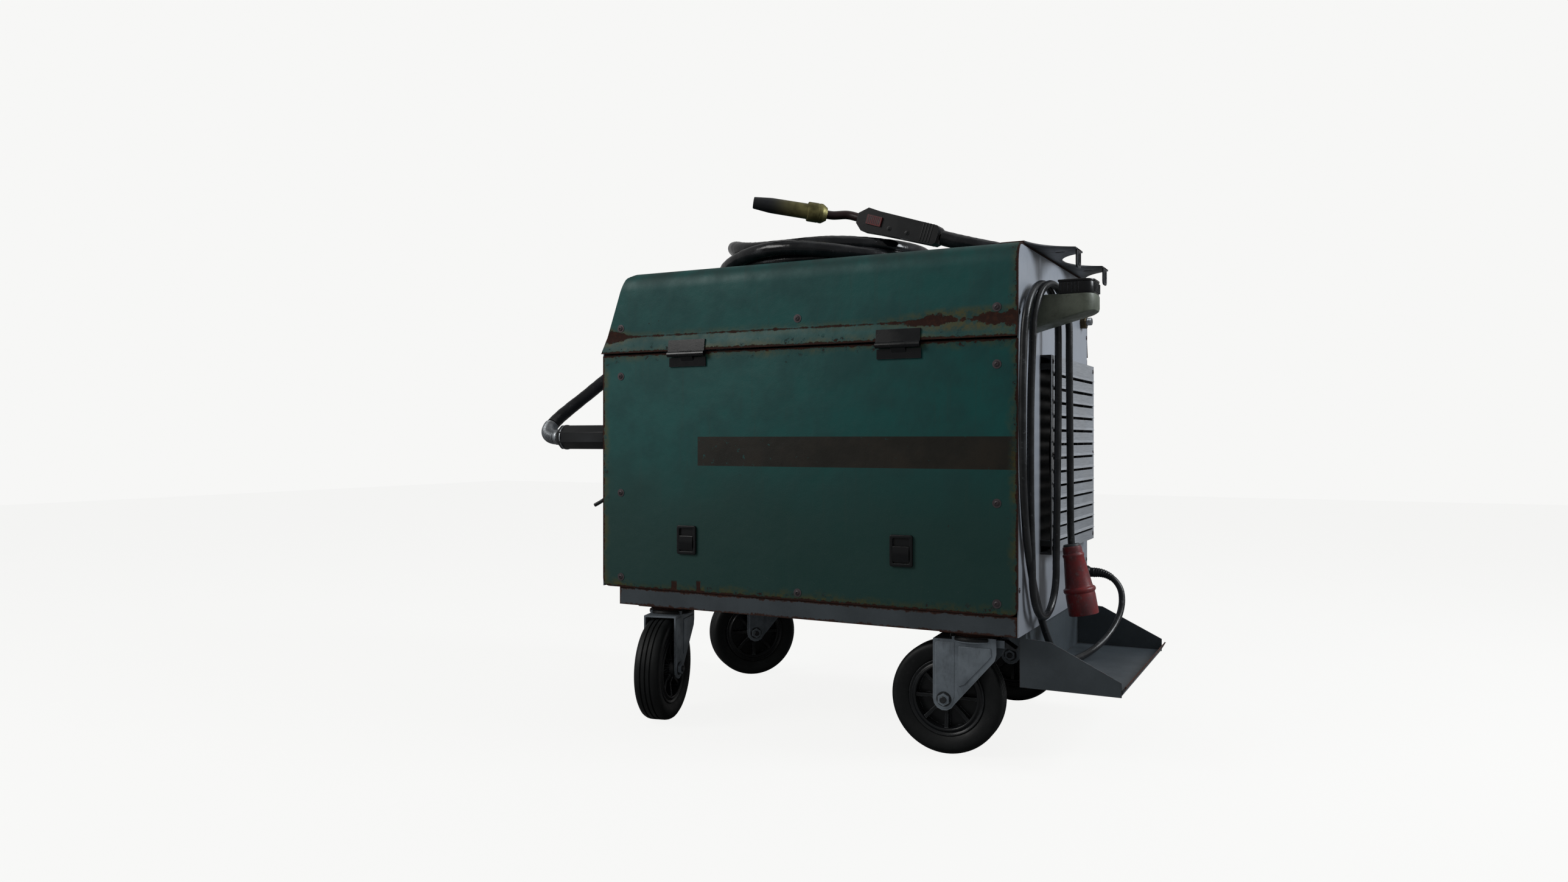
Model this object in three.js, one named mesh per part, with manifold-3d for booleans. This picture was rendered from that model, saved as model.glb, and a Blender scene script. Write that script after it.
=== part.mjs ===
// A MIG/MAG welding power source on four castors: sheet-steel cabinet with a hinged side door, wire feeder
// and transformer inside, gas-bottle tray and bottle bracket behind, torch hose coiled on the lid, and
// the mains cable hung over a hook. Millimetres, +Z up. The drawing frame has x = 0 at the rear panel
// (+X to the rear), y = 0 at the door side and z = 0 on the floor; the last lines move it to its origin.
import * as THREE from 'three';
import { mergeVertices } from 'three/addons/utils/BufferGeometryUtils.js';
import Module from 'manifold-3d';

const wasm = await Module();
wasm.setup();

// ---- driving dimensions ----
const GAP = 0.3; // left between pieces that touch
const SHEET = 2; // cabinet sheet steel
const LENGTH = 854; // cabinet, door front edge to rear panel
const WIDTH = 546; // cabinet, door face to far side face
const RAIL = { front: -814, low: 221, high: 255, wall: 3 };
const LID = { low: 725, crease: 759, top: 885, frontTop: -798, cornerIn: 24.6, cornerDown: 38, flare: 6 };
const DOOR = { low: 255.5, high: 722, rim: 12, corner: 16 };
const DIVIDER_Y = 150;
const HINGE = { y: -8, z: 718, length: 83, low: 694, high: 746, starts: [-691, -253] };
const LATCH = { width: 43, low: 329, high: 385, thick: 5, starts: [-673, -228] };
const FAN = { y: 330, z: 525, radius: 118 };
const LOUVRE = { near: 147, far: 514, low: 347, high: 703, out: 20, slats: 13, pitch: 25 };
const TRAY = { inner: -11, outer: 156, lip: 10, near: 51, far: 495, floor: 128, wall: 3 };
const HOOK = { near: 64, far: 135, root: 741, tip: 770, top: 799.5, reach: 110, lip: 24 };
const WIRE = { y: 80, z: 557 }; // the line that the welding wire follows
const LEVER = { y: 45, z: 440 }; // gas test lever, low on the front by the door
const SPOOL = { x: -250, z: 485, radius: 148, width: 96, bore: 26 };
const WHEEL = { radius: 100, width: 50, bead: 68.3, rimInner: 54, hub: 18, axle: 6, trail: 48 };
const FORK = { inside: 30, plate: 3, crown: 43, crownLow: 202, crownHigh: 210.4, strip: 20 };
const BRAKE = { x: 49, z: 198.5, pin: 2.5, half: 13, lug: 4 }; // the pedal's pin, from the swivel axis
const CASTORS = [
  { name: 'front_near', x: -726, y: 59, turn: 103, brake: false },
  { name: 'front_far', x: -726, y: 487, turn: 45, brake: false },
  { name: 'rear_near', x: -91, y: 59, turn: 4, brake: true },
  { name: 'rear_far', x: -91, y: 487, turn: 0, brake: false },
];
const HOSE = { radius: 14, sides: 8 };
const COIL = { x: -470, y: 269, inner: 170, outer: 228, low: 885.5, high: 932 };
const CABLE = { radius: 6.25, sides: 8 };
const SEGMENTS = 16; // facets of a round part

// ---- shape helpers ----
const X = new THREE.Vector3(1, 0, 0);
const Y = new THREE.Vector3(0, 1, 0);
const Z = new THREE.Vector3(0, 0, 1);
const vec = (x, y, z) => new THREE.Vector3(x, y, z);

// A block between two opposite corners.
function block(x0, x1, y0, y1, z0, z1) {
  const geometry = new THREE.BoxGeometry(x1 - x0, y1 - y0, z1 - z0);
  return geometry.translate((x0 + x1) / 2, (y0 + y1) / 2, (z0 + z1) / 2);
}

// An outline of [across, up] points, or a Shape, made solid from a start point along across x up.
function prism(outline, depth, start, across, up) {
  const points = outline instanceof THREE.Shape ? null : outline.map(([a, b]) => new THREE.Vector2(a, b));
  const shape = points ? new THREE.Shape(points) : outline;
  const geometry = new THREE.ExtrudeGeometry(shape, { depth, bevelEnabled: false, curveSegments: 3 });
  const along = new THREE.Vector3().crossVectors(across, up);
  return geometry.applyMatrix4(new THREE.Matrix4().makeBasis(across, up, along).setPosition(start));
}

const prismX = (outline, x0, x1) => prism(outline, x1 - x0, vec(x0, 0, 0), Y, Z); // outline in (y, z)
const prismY = (outline, y0, y1) => prism(outline, y1 - y0, vec(0, y1, 0), X, Z); // outline in (x, z)
const prismZ = (outline, z0, z1) => prism(outline, z1 - z0, vec(0, 0, z0), X, Y); // outline in (x, y)

// A profile of [radius, height] points turned about an axis through a point.
function turned(profile, centre, axis, segments = SEGMENTS) {
  const geometry = new THREE.LatheGeometry(profile.map(([r, h]) => new THREE.Vector2(r, h)), segments);
  geometry.applyQuaternion(new THREE.Quaternion().setFromUnitVectors(Y, axis));
  return geometry.translate(centre.x, centre.y, centre.z);
}

// A round bar from one point, along an axis.
function bar(radius, length, start, axis, segments = SEGMENTS) {
  return turned([[0, 0], [radius, 0], [radius, length], [0, length]], start, axis, segments);
}

// A ring or sleeve from one point, along an axis.
function sleeve(inner, outer, length, start, axis, segments = SEGMENTS) {
  const profile = [[inner, 0], [outer, 0], [outer, length], [inner, length], [inner, 0]];
  return turned(profile, start, axis, segments);
}

// A hexagonal bar, across its flats.
function hexBar(flats, length, start, axis) {
  return bar(flats / Math.sqrt(3), length, start, axis, 6);
}

// A tube of even thickness through points.
function tube(points, radius, sides, steps) {
  const section = new THREE.Shape();
  for (let i = 0; i < sides; i += 1) {
    const angle = (2 * Math.PI * i) / sides;
    const place = [radius * Math.cos(angle), radius * Math.sin(angle)];
    if (i === 0) section.moveTo(...place);
    else section.lineTo(...place);
  }
  const extrudePath = new THREE.CatmullRomCurve3(points.map((p) => vec(...p)), false, 'centripetal');
  return new THREE.ExtrudeGeometry(section, { steps, extrudePath, bevelEnabled: false });
}

// A rectangle's outline with rounded corners. The two upper ones stay square if roundHigh is false.
function roundedRect(a0, a1, b0, b1, r, roundHigh = true) {
  const shape = new THREE.Shape();
  shape.moveTo(a0 + r, b0);
  shape.lineTo(a1 - r, b0);
  shape.absarc(a1 - r, b0 + r, r, -Math.PI / 2, 0, false);
  if (roundHigh) {
    shape.absarc(a1 - r, b1 - r, r, 0, Math.PI / 2, false);
    shape.absarc(a0 + r, b1 - r, r, Math.PI / 2, Math.PI, false);
  } else {
    shape.lineTo(a1, b1);
    shape.lineTo(a0, b1);
  }
  shape.absarc(a0 + r, b0 + r, r, Math.PI, 1.5 * Math.PI, false);
  return shape;
}

// ---- booleans ----
function solid(geometry) {
  const bare = geometry.clone();
  bare.deleteAttribute('normal');
  bare.deleteAttribute('uv');
  const merged = mergeVertices(bare, 1e-3);
  const index = merged.index.array;
  const triVerts = [];
  for (let i = 0; i < index.length; i += 3) {
    const [a, b, c] = [index[i], index[i + 1], index[i + 2]];
    if (a !== b && b !== c && c !== a) triVerts.push(a, b, c);
  }
  const vertProperties = merged.attributes.position.array;
  const mesh = new wasm.Mesh({ numProp: 3, vertProperties, triVerts: Uint32Array.from(triVerts) });
  return new wasm.Manifold(mesh);
}

function geometryOf(manifold) {
  const { vertProperties, triVerts } = manifold.getMesh();
  const geometry = new THREE.BufferGeometry();
  geometry.setAttribute('position', new THREE.BufferAttribute(vertProperties, 3));
  geometry.setIndex(new THREE.BufferAttribute(triVerts, 1));
  geometry.computeVertexNormals();
  return geometry;
}

const joined = (...parts) => geometryOf(parts.map(solid).reduce((sum, part) => sum.add(part)));
const cut = (body, ...tools) => (
  geometryOf(tools.map(solid).reduce((left, tool) => left.subtract(tool), solid(body)))
);
const common = (...parts) => geometryOf(parts.map(solid).reduce((both, part) => both.intersect(part)));

// ---- looks ----
const LOOK = {
  green: [0x1f4f48, 0.55, 0.1],
  bluegrey: [0x3b4047, 0.6, 0.3],
  zinc: [0x8d9299, 0.4, 0.8],
  steel: [0x6f757b, 0.45, 0.7],
  black: [0x101214, 0.45, 0.1],
  glossBlack: [0x0b0c0e, 0.25, 0.1],
  rubber: [0x121314, 0.8, 0],
  hook: [0x4c5142, 0.6, 0],
  red: [0x5e1416, 0.5, 0],
  brass: [0x7a6a2f, 0.45, 0.7],
  copper: [0x8a4b2c, 0.4, 0.9],
  laminate: [0x4a4644, 0.6, 0.6],
  wire: [0xa5673f, 0.35, 0.9],
};

const machine = new THREE.Group();

function add(name, look, geometry, parent = machine) {
  const [color, roughness, metalness] = LOOK[look];
  const mesh = new THREE.Mesh(geometry, new THREE.MeshStandardMaterial({ color, roughness, metalness }));
  mesh.name = name;
  parent.add(mesh);
}

// ---- cabinet ----
// The lid's section in (y, z), from the door side's lower edge over both rounded corners, moved in by an
// inset; flared says whether the lower edges turn out over the door and the side panel.
function lidSection(inset, flared, low) {
  const side = [];
  const flare = flared ? LID.flare : 0;
  side.push([inset - flare, low], [inset, LID.crease]);
  const steps = 5;
  for (let i = 0; i <= steps; i += 1) {
    const angle = (Math.PI / 2) * (i / steps);
    const y = LID.cornerIn - (LID.cornerIn - inset) * Math.cos(angle);
    const z = LID.top - LID.cornerDown + (LID.cornerDown - inset) * Math.sin(angle);
    side.push([y, z]);
  }
  const other = side.map(([y, z]) => [WIDTH - y, z]).reverse();
  return [...side, ...other];
}

// The slope of the cabinet's front above the door, as x at a height.
function frontAt(z) {
  return -LENGTH + ((LID.frontTop + LENGTH) * Math.max(0, z - LID.low)) / (LID.top - LID.low);
}

function baseFrame() {
  const { front, low, high, wall } = RAIL;
  const back = -SHEET - 0.6;
  const outer = block(front, back, wall, WIDTH - wall, low, high);
  const inner = block(front + wall, back - wall, 2 * wall, WIDTH - 2 * wall, low + wall, high + 1);
  const pan = cut(outer, inner);
  const mounts = CASTORS.flatMap(({ x, y }) => [
    block(x - 52, x + 52, y - 42, y + 42, 217, low + 1),
    bar(38, 7, vec(x, y, 211), Z, 16),
    bar(6.5, 14, vec(x, y, 199), Z, 8),
    bar(14, 4.3, vec(x, y, 197.3), Z, 8),
  ]);
  return joined(pan, ...mounts);
}

function frontPanel() {
  const out = 1.5; // proud of the door's edge
  const bend = LID.low;
  const top = LID.top - SHEET - 1;
  const slope = (z) => frontAt(z) - out + (z > bend ? 2 : 0);
  const outline = [
    [-LENGTH - out, RAIL.high + GAP],
    [-LENGTH - out + SHEET, RAIL.high + GAP],
    [-LENGTH - out + SHEET, bend],
    [slope(top) + SHEET, top],
    [slope(top), top],
    [-LENGTH - out, bend],
  ];
  const sheet = prismY(outline, 3, WIDTH - 3);
  const inside = prismX(lidSection(SHEET + 0.5, false, RAIL.high), -LENGTH - 10, 0);
  return cut(
    common(sheet, inside),
    bar(15.5, 20, vec(-LENGTH - 8, WIRE.y, WIRE.z), X),
    bar(9, 20, vec(-LENGTH - 8, LEVER.y, LEVER.z), X, 12),
  );
}

function rearPanel() {
  const inside = prismX(lidSection(SHEET + 1.2, false, RAIL.low), -SHEET, 0);
  return cut(
    inside,
    bar(FAN.radius, 10, vec(-6, FAN.y, FAN.z), X, 32),
    bar(9, 10, vec(-6, 488, 795), X, 12),
    bar(12, 10, vec(-6, 470, 281), X, 12),
  );
}

function topCover() {
  const slopeCut = [
    [-LENGTH, LID.low],
    [0, LID.low],
    [0, LID.top + 5],
    [LID.frontTop + 14, LID.top + 5],
    [LID.frontTop + 14, LID.top],
    [LID.frontTop + 4, LID.top - 3],
    [LID.frontTop, LID.top - 11],
  ];
  const tunnel = prismX(lidSection(0, true, LID.low), -LENGTH - 5, 0);
  const outer = common(tunnel, prismY(slopeCut, -20, WIDTH + 20));
  const inner = prismX(lidSection(SHEET, true, LID.low - 2), -LENGTH - 10, 10);
  return cut(outer, inner);
}

// A door or side panel: a flat sheet with a folded rim set back from its edges. The outer face is at
// y = outside, and inward is 1 or -1 along Y.
function panelPan(outside, inward) {
  const face = roundedRect(-LENGTH, 0, DOOR.low, DOOR.high, DOOR.corner, false);
  const depths = (from, to) => [outside + inward * from, outside + inward * to].sort((a, b) => a - b);
  const [y0, y1] = depths(0, SHEET);
  const [r0, r1] = depths(SHEET / 2, SHEET + DOOR.rim);
  const rim = cut(
    block(-LENGTH + 6, -6, r0, r1, DOOR.low + 4, DOOR.high - 3),
    block(-LENGTH + 8, -8, r0 - 1, r1 + 1, DOOR.low + 6, DOOR.high - 5),
  );
  return joined(prismY(face, y0, y1), rim);
}

function divider() {
  const [front, back] = [RAIL.front + RAIL.wall + GAP, -6];
  const [low, high] = [RAIL.low + 3 + GAP, LID.top - 14];
  const wall = block(front, back, DIVIDER_Y, DIVIDER_Y + SHEET, low, high);
  const slope = prismY([[-900, 700], [-LENGTH + 4, 700], [LID.frontTop + 8, 900], [-900, 900]], 100, 200);
  const spindle = bar(SPOOL.bore - 0.6, DIVIDER_Y - 26, vec(SPOOL.x, 26.5, SPOOL.z), Y);
  const stop = bar(SPOOL.bore + 10, 9, vec(SPOOL.x, DIVIDER_Y - 8.5, SPOOL.z), Y);
  return cut(joined(wall, spindle, stop), slope);
}

add('base_frame', 'bluegrey', baseFrame());
add('front_panel', 'zinc', frontPanel());
add('rear_panel', 'zinc', rearPanel());
add('top_cover', 'green', topCover());
add('side_panel', 'green', panelPan(WIDTH, -1));
add('side_door', 'green', panelPan(0, 1));
add('divider', 'zinc', divider());

// ---- door hinges and latches ----
const KNUCKLE = 5.5;
const PIN = 2.5;

// The leaf under the lid's flare, its two outer knuckles and the pin.
function fixedLeaf(start) {
  const third = HINGE.length / 3;
  const leaf = prismX(
    [[-9.3, HINGE.z], [-6.7, HINGE.z], [-6.6, LID.low], [-3, HINGE.high], [-5.8, HINGE.high]],
    start,
    start + HINGE.length,
  );
  const room = bar(KNUCKLE + GAP, third + 2 * GAP, vec(start + third - GAP, HINGE.y, HINGE.z), X, 12);
  const outer = [start, start + 2 * third];
  const knuckles = outer.map((x) => bar(KNUCKLE, third, vec(x, HINGE.y, HINGE.z), X, 12));
  const pin = bar(PIN, HINGE.length, vec(start, HINGE.y, HINGE.z), X, 8);
  return joined(cut(leaf, room), ...knuckles, pin);
}

// The leaf screwed to the door, with the middle knuckle.
function doorLeaf(start) {
  const third = HINGE.length / 3;
  const width = third - 2 * GAP;
  const neck = start + third + GAP;
  const leaf = block(start, start + HINGE.length, -3, -GAP, HINGE.low, HINGE.z - KNUCKLE - 1);
  const bridge = prismX([[-8, 713], [-GAP, 700], [-GAP, 713], [-3, 718]], neck, neck + width);
  const knuckle = bar(KNUCKLE, width, vec(neck, HINGE.y, HINGE.z), X, 12);
  const bore = bar(PIN + 0.4, HINGE.length, vec(start, HINGE.y, HINGE.z), X, 8);
  return cut(joined(leaf, bridge, knuckle), bore);
}

// A recessed paddle latch: a black bezel on the door, and the paddle that turns out from its lower edge.
function latchBezel(start) {
  const end = start + LATCH.width;
  const plate = prismY(roundedRect(start, end, LATCH.low, LATCH.high, 3), -LATCH.thick, -GAP);
  return cut(plate, block(start + 6, end - 6, -LATCH.thick - 1, -1.6, LATCH.low + 6, LATCH.high - 16));
}

function latchPaddle(start) {
  const [x0, x1] = [start + 6 + GAP, start + LATCH.width - 6 - GAP];
  const [z0, z1] = [LATCH.low + 8.5, LATCH.high - 20];
  const outline = [[-2.2, z0 + 2], [-3, z0], [-5, z0], [-6.4, z0 + 6], [-5, z1], [-3, z1]];
  return prismX(outline, x0, x1);
}

HINGE.starts.forEach((start, i) => {
  const end = ['front', 'rear'][i];
  add(`hinge_leaf_${end}`, 'black', fixedLeaf(start));
  add(`door_leaf_${end}`, 'black', doorLeaf(start));
  add(`latch_bezel_${end}`, 'black', latchBezel(LATCH.starts[i]));
  add(`latch_paddle_${end}`, 'glossBlack', latchPaddle(LATCH.starts[i]));
});

// ---- fan and its louvre ----
function louvre() {
  const { near, far, low, high, out, slats, pitch } = LOUVRE;
  const shell = cut(
    block(GAP, out, near, far, low, high),
    block(-1, out - SHEET, near - 1, far - SHEET, low + SHEET, high - SHEET),
  );
  const first = high - 28;
  const slots = [];
  const hoods = [];
  for (let i = 0; i < slats; i += 1) {
    const z = first - i * pitch;
    slots.push(block(out - 4, out + 4, near + 14, far - 12, z - 9, z - 4));
    hoods.push(prismY([[out - 1.5, z - 3], [out + 3, z - 4], [out - 1.5, z + 3]], near + 10, far - 8));
  }
  const feet = [low + 20, high - 20].map((z) => block(GAP, out - 1, near, near + 10, z - 5, z + 5));
  return joined(cut(shell, ...slots), ...hoods, ...feet);
}

function fanMotor() {
  const arms = [-1, 1].map((side) => {
    const arm = new THREE.BoxGeometry(3, 2 * FAN.radius + 24, 10);
    arm.rotateX((side * Math.PI) / 4);
    return arm.translate(-4.4, FAN.y, FAN.z);
  });
  return joined(bar(34, 55, vec(-60, FAN.y, FAN.z), X), ...arms);
}

function fanRotor() {
  const back = -92;
  const blades = [];
  const count = 5;
  for (let i = 0; i < count; i += 1) {
    const blade = new THREE.BoxGeometry(3, 66, 44);
    blade.rotateY(0.6);
    blade.translate(0, 72, 0);
    blade.rotateX((2 * Math.PI * i) / count);
    blades.push(blade.translate(back + 16, FAN.y, FAN.z));
  }
  return joined(bar(44, 31, vec(back, FAN.y, FAN.z), X), ...blades);
}

add('vent_louvre', 'steel', louvre());
add('fan_motor', 'black', fanMotor());
add('fan_rotor', 'black', fanRotor());

// ---- transformer ----
const CORE = { x0: -560, x1: -300, y0: 250, y1: 350, z0: 224.4, z1: 450, window: 50, limb: 40 };

function transformerCore() {
  const { x0, x1, y0, y1, z0, z1, window, limb } = CORE;
  return cut(
    block(x0, x1, y0, y1, z0, z1),
    block(x0 + limb, x0 + limb + window, y0 - 1, y1 + 1, z0 + limb, z1 - limb),
    block(x1 - limb - window, x1 - limb, y0 - 1, y1 + 1, z0 + limb, z1 - limb),
  );
}

function transformerWinding() {
  const { x0, x1, y0, y1, z0, z1, window, limb } = CORE;
  const middle = x0 + limb + window;
  const reach = window - 6;
  const [low, high] = [z0 + limb + 2, z1 - limb - 2];
  return cut(
    prismZ(roundedRect(middle - reach, x1 - limb - window + reach, y0 - reach, y1 + reach, 20), low, high),
    block(middle - 2, x1 - limb - window + 2, y0 - 2, y1 + 2, low - 1, high + 1),
  );
}

add('transformer_core', 'laminate', transformerCore());
add('transformer_winding', 'copper', transformerWinding());

// ---- wire feeder ----
const FEEDER = { x: -560, drive: 18.5, pressure: 15, wire: 0.7, rollWidth: 12 };
const DRIVE_Z = WIRE.z - FEEDER.wire - FEEDER.drive;
const PRESSURE_Z = WIRE.z + FEEDER.wire + FEEDER.pressure;
const ARM_PIVOT = { x: FEEDER.x + 52, z: PRESSURE_Z };
const ROLL_Y = WIRE.y - FEEDER.rollWidth / 2;

function feedPlate() {
  const plate = block(-650, -470, 95, 101, 495, 625);
  const gearbox = block(-610, -515, 100, DIVIDER_Y - GAP, 505, 570);
  const motorShaft = bar(7, 30, vec(FEEDER.x, ROLL_Y - 5, DRIVE_Z), Y, 12);
  const armPin = bar(5, 34, vec(ARM_PIVOT.x, ROLL_Y - 5, ARM_PIVOT.z), Y, 12);
  const guide = block(-640, -612, WIRE.y - 8, 97, WIRE.z - 8, WIRE.z + 8);
  const wireHole = bar(2.5, 60, vec(-650, WIRE.y, WIRE.z), X, 8);
  return cut(joined(plate, gearbox, motorShaft, armPin, guide), wireHole);
}

// A grooved roll with a bore that turns on its pin.
function roll(radius, bore, z) {
  const half = FEEDER.rollWidth / 2;
  const profile = [
    [bore, -half], [radius, -half], [radius, -1.5], [radius - 1.2, 0], [radius, 1.5], [radius, half],
    [bore, half],
    [bore, -half],
  ];
  return turned(profile, vec(FEEDER.x, WIRE.y, z), Y);
}

function pressureArm() {
  const bodyY = [ROLL_Y + FEEDER.rollWidth + 0.8, ROLL_Y + FEEDER.rollWidth + 7];
  const outline = roundedRect(FEEDER.x - 46, ARM_PIVOT.x + 12, PRESSURE_Z - 10, PRESSURE_Z + 12, 9);
  const arm = prismY(outline, ...bodyY);
  const stub = bar(5, 16, vec(FEEDER.x, ROLL_Y - 3, PRESSURE_Z), Y, 12);
  const bore = bar(5.4, 30, vec(ARM_PIVOT.x, bodyY[0] - 5, ARM_PIVOT.z), Y, 12);
  const knob = bar(4.6, 44, vec(FEEDER.x - 36, (bodyY[0] + bodyY[1]) / 2, PRESSURE_Z + 8), Z, 12);
  return cut(joined(arm, stub, knob), bore);
}

function wireSpool() {
  const half = SPOOL.width / 2;
  const { radius, bore } = SPOOL;
  const profile = [
    [bore, -half], [radius, -half], [radius, 5 - half], [radius - 22, 5 - half], [radius - 22, half - 5],
    [radius, half - 5], [radius, half], [bore, half], [bore, -half],
  ];
  return turned(profile, vec(SPOOL.x, WIRE.y + 7, SPOOL.z), Y, 24);
}

add('feed_drive', 'zinc', feedPlate());
add('drive_roll', 'steel', roll(FEEDER.drive, 7.3, DRIVE_Z));
add('pressure_roll', 'steel', roll(FEEDER.pressure, 5.3, PRESSURE_Z));
add('pressure_arm', 'black', pressureArm());
add('wire_spool', 'wire', wireSpool());

// ---- rear fittings ----
function hookPlan(edge) {
  const round = (HOOK.far - HOOK.near) / 2;
  const middle = (HOOK.near + HOOK.far) / 2;
  const shape = new THREE.Shape();
  shape.moveTo(edge, HOOK.near);
  shape.absarc(HOOK.reach - round, middle, round, -Math.PI / 2, Math.PI / 2, false);
  shape.lineTo(edge, HOOK.far);
  return shape;
}

// The upturned end of the hook, a wall that follows its round end.
function hookLip() {
  const middle = (HOOK.near + HOOK.far) / 2;
  const round = (HOOK.far - HOOK.near) / 2;
  const start = HOOK.reach - round - 22;
  const [z0, z1] = [HOOK.top - 1, HOOK.top + HOOK.lip];
  return cut(
    prismZ(hookPlan(start), z0, z1),
    bar(round - 9, HOOK.lip + 10, vec(HOOK.reach - round, middle, z0 - 5), Z),
    block(start - 5, HOOK.reach - round, HOOK.near + 9, HOOK.far - 9, z0 - 5, z1 + 5),
  );
}

function cableHook() {
  const side = [[GAP, HOOK.root], [HOOK.reach, HOOK.tip], [HOOK.reach, HOOK.top], [GAP, HOOK.top]];
  const arm = common(prismZ(hookPlan(GAP), HOOK.root, HOOK.top), prismY(side, HOOK.near - 5, HOOK.far + 5));
  return joined(arm, hookLip());
}

// The plate on the lid that the gas bottle leans against, with two horns turned down at their tips.
const BRACKET = { back: -52, reach: 67, near: 30, horn: [121, 190], notch: 12, thick: 3, drop: 31 };

function bracketHalf(mirror) {
  const place = (x, y) => [x, mirror ? WIDTH - y : y];
  const { back, reach, near, horn, notch } = BRACKET;
  const outer = new THREE.QuadraticBezierCurve(
    new THREE.Vector2(...place(2, near)),
    new THREE.Vector2(...place(14, horn[0] - 22)),
    new THREE.Vector2(...place(reach, horn[0] + 6)),
  );
  const inner = new THREE.QuadraticBezierCurve(
    new THREE.Vector2(...place(reach, horn[1] - 6)),
    new THREE.Vector2(...place(notch + 6, horn[1] + 14)),
    new THREE.Vector2(...place(notch, WIDTH / 2)),
  );
  const curve = [...outer.getPoints(4), ...inner.getPoints(4)].map((p) => [p.x, p.y]);
  return [place(back, near + 14), place(back + 14, near), ...curve, place(back, WIDTH / 2)];
}

function bottleBracket() {
  const { reach, horn, thick, drop } = BRACKET;
  const z0 = LID.top + GAP;
  const half = (mirror) => {
    const points = bracketHalf(mirror);
    const plate = prismZ(mirror ? points.reverse() : points, z0, z0 + thick);
    const [y0, y1] = mirror ? [WIDTH - horn[1] + 6, WIDTH - horn[0] - 6] : [horn[0] + 6, horn[1] - 6];
    const middle = (y0 + y1) / 2;
    const face = roundedRect(middle - 16, middle + 16, z0 - drop, z0 + thick, 8, false);
    const tip = prismX(face, reach - thick, reach);
    const mouth = roundedRect(middle - 5, middle + 5, z0 - drop + 8, z0 - 4, 4.8);
    const slot = prismX(mouth, reach - 10, reach + 5);
    const hole = prismZ(roundedRect(24, 42, middle - 4, middle + 4, 3.8), z0 - 5, z0 + 8);
    return cut(joined(plate, tip), slot, hole);
  };
  return joined(half(false), half(true));
}

function gasTray() {
  const { inner, outer, lip, near, far, floor, wall } = TRAY;
  const top = RAIL.low - GAP;
  const cheek = [
    [inner, floor], [outer + 2, floor], [outer + 2, 152], [outer - 4, 155], [42, 209], [0, 212],
    [0, top], [inner, top],
  ];
  const lipOutline = [
    [outer, floor], [outer + lip, floor + 18], [outer + lip - 2, floor + 19], [outer - 4, floor + wall],
  ];
  return joined(
    block(inner, outer, near, far, floor, floor + wall),
    block(inner, inner + wall, near, far, floor, top),
    prismY(cheek, near, near + wall),
    prismY(cheek, far - wall, far),
    prismY(lipOutline, near + wall - 1, far - wall + 1),
  );
}

function gasInlet() {
  const centre = vec(GAP, 488, 795);
  return joined(hexBar(27, 11, centre, X), bar(8, 21.7, centre, X, 16));
}

function mainsGland() {
  const centre = vec(GAP, 470, 281);
  return joined(hexBar(30, 9, centre, X), bar(12.5, 20, centre, X, 16), bar(9.5, 29.4, centre, X, 16));
}

add('cable_hook', 'hook', cableHook());
add('bottle_bracket', 'bluegrey', bottleBracket());
add('gas_tray', 'bluegrey', gasTray());
add('gas_inlet', 'brass', gasInlet());
add('mains_gland', 'black', mainsGland());

// ---- front fittings ----
const FRONT = -LENGTH - 1.5 - GAP; // where the fittings stand on the front panel
const TORCH_PLUG = { radius: 27.5, end: -1033, start: -860 };
const forward = vec(-1, 0, 0);

function torchSocket() {
  const face = roundedRect(WIRE.y - 32, WIRE.y + 32, WIRE.z - 32, WIRE.z + 32, 8);
  const flange = prismX(face, FRONT - 4, FRONT);
  const tail = bar(14.5, 60, vec(FRONT - 2, WIRE.y, WIRE.z), X);
  const wireHole = bar(4, 100, vec(FRONT - 20, WIRE.y, WIRE.z), X, 12);
  return cut(joined(flange, tail), wireHole);
}

function torchPlug() {
  const { radius, end, start } = TORCH_PLUG;
  const length = start - end;
  const profile = [[0, 0], [radius, 0], [radius, length - 15], [radius - 13, length], [0, length]];
  return turned(profile, vec(start, WIRE.y, WIRE.z), forward, 8);
}

// The spring that keeps the hose from kinking where it leaves the plug: a quarter turn away and up.
function hoseSpring() {
  const { end } = TORCH_PLUG;
  const bend = 44;
  const points = [[end + 2, WIRE.y, WIRE.z]];
  for (let i = 0; i <= 6; i += 1) {
    const angle = (Math.PI / 2) * (i / 6);
    const side = bend * (1 - Math.cos(angle));
    points.push([end - 4 - bend * Math.sin(angle), WIRE.y + 0.8 * side, WIRE.z + 0.6 * side]);
  }
  return tube(points, HOSE.radius + 1, 8, 8);
}

// A knob turned about an axis, with a finger bar across its face.
function knob(radius, height, centre, axis) {
  const profile = [[0, 0], [radius, 0], [radius, 4], [radius - 4, 6], [radius - 6, height], [0, height]];
  return turned(profile, centre, axis);
}

// A place on the sloping top of the front panel, from its lower bend up, and the way it faces.
const SLOPE = Math.atan2(LID.frontTop + LENGTH, LID.top - LID.low);
const OUTWARD = vec(-Math.cos(SLOPE), 0, Math.sin(SLOPE));

function onSlope(y, up) {
  const along = vec(Math.sin(SLOPE), 0, Math.cos(SLOPE)).multiplyScalar(up);
  return vec(-LENGTH - 1.5, y, LID.low).add(along).addScaledVector(OUTWARD, 1.5);
}

function meter() {
  const size = { across: 96, up: 54 };
  const shape = roundedRect(-size.across / 2, size.across / 2, -size.up / 2, size.up / 2, 5);
  const upSlope = vec(Math.sin(SLOPE), 0, Math.cos(SLOPE));
  return prism(shape, 10, onSlope(400, 80), vec(0, -1, 0), upSlope);
}

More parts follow.
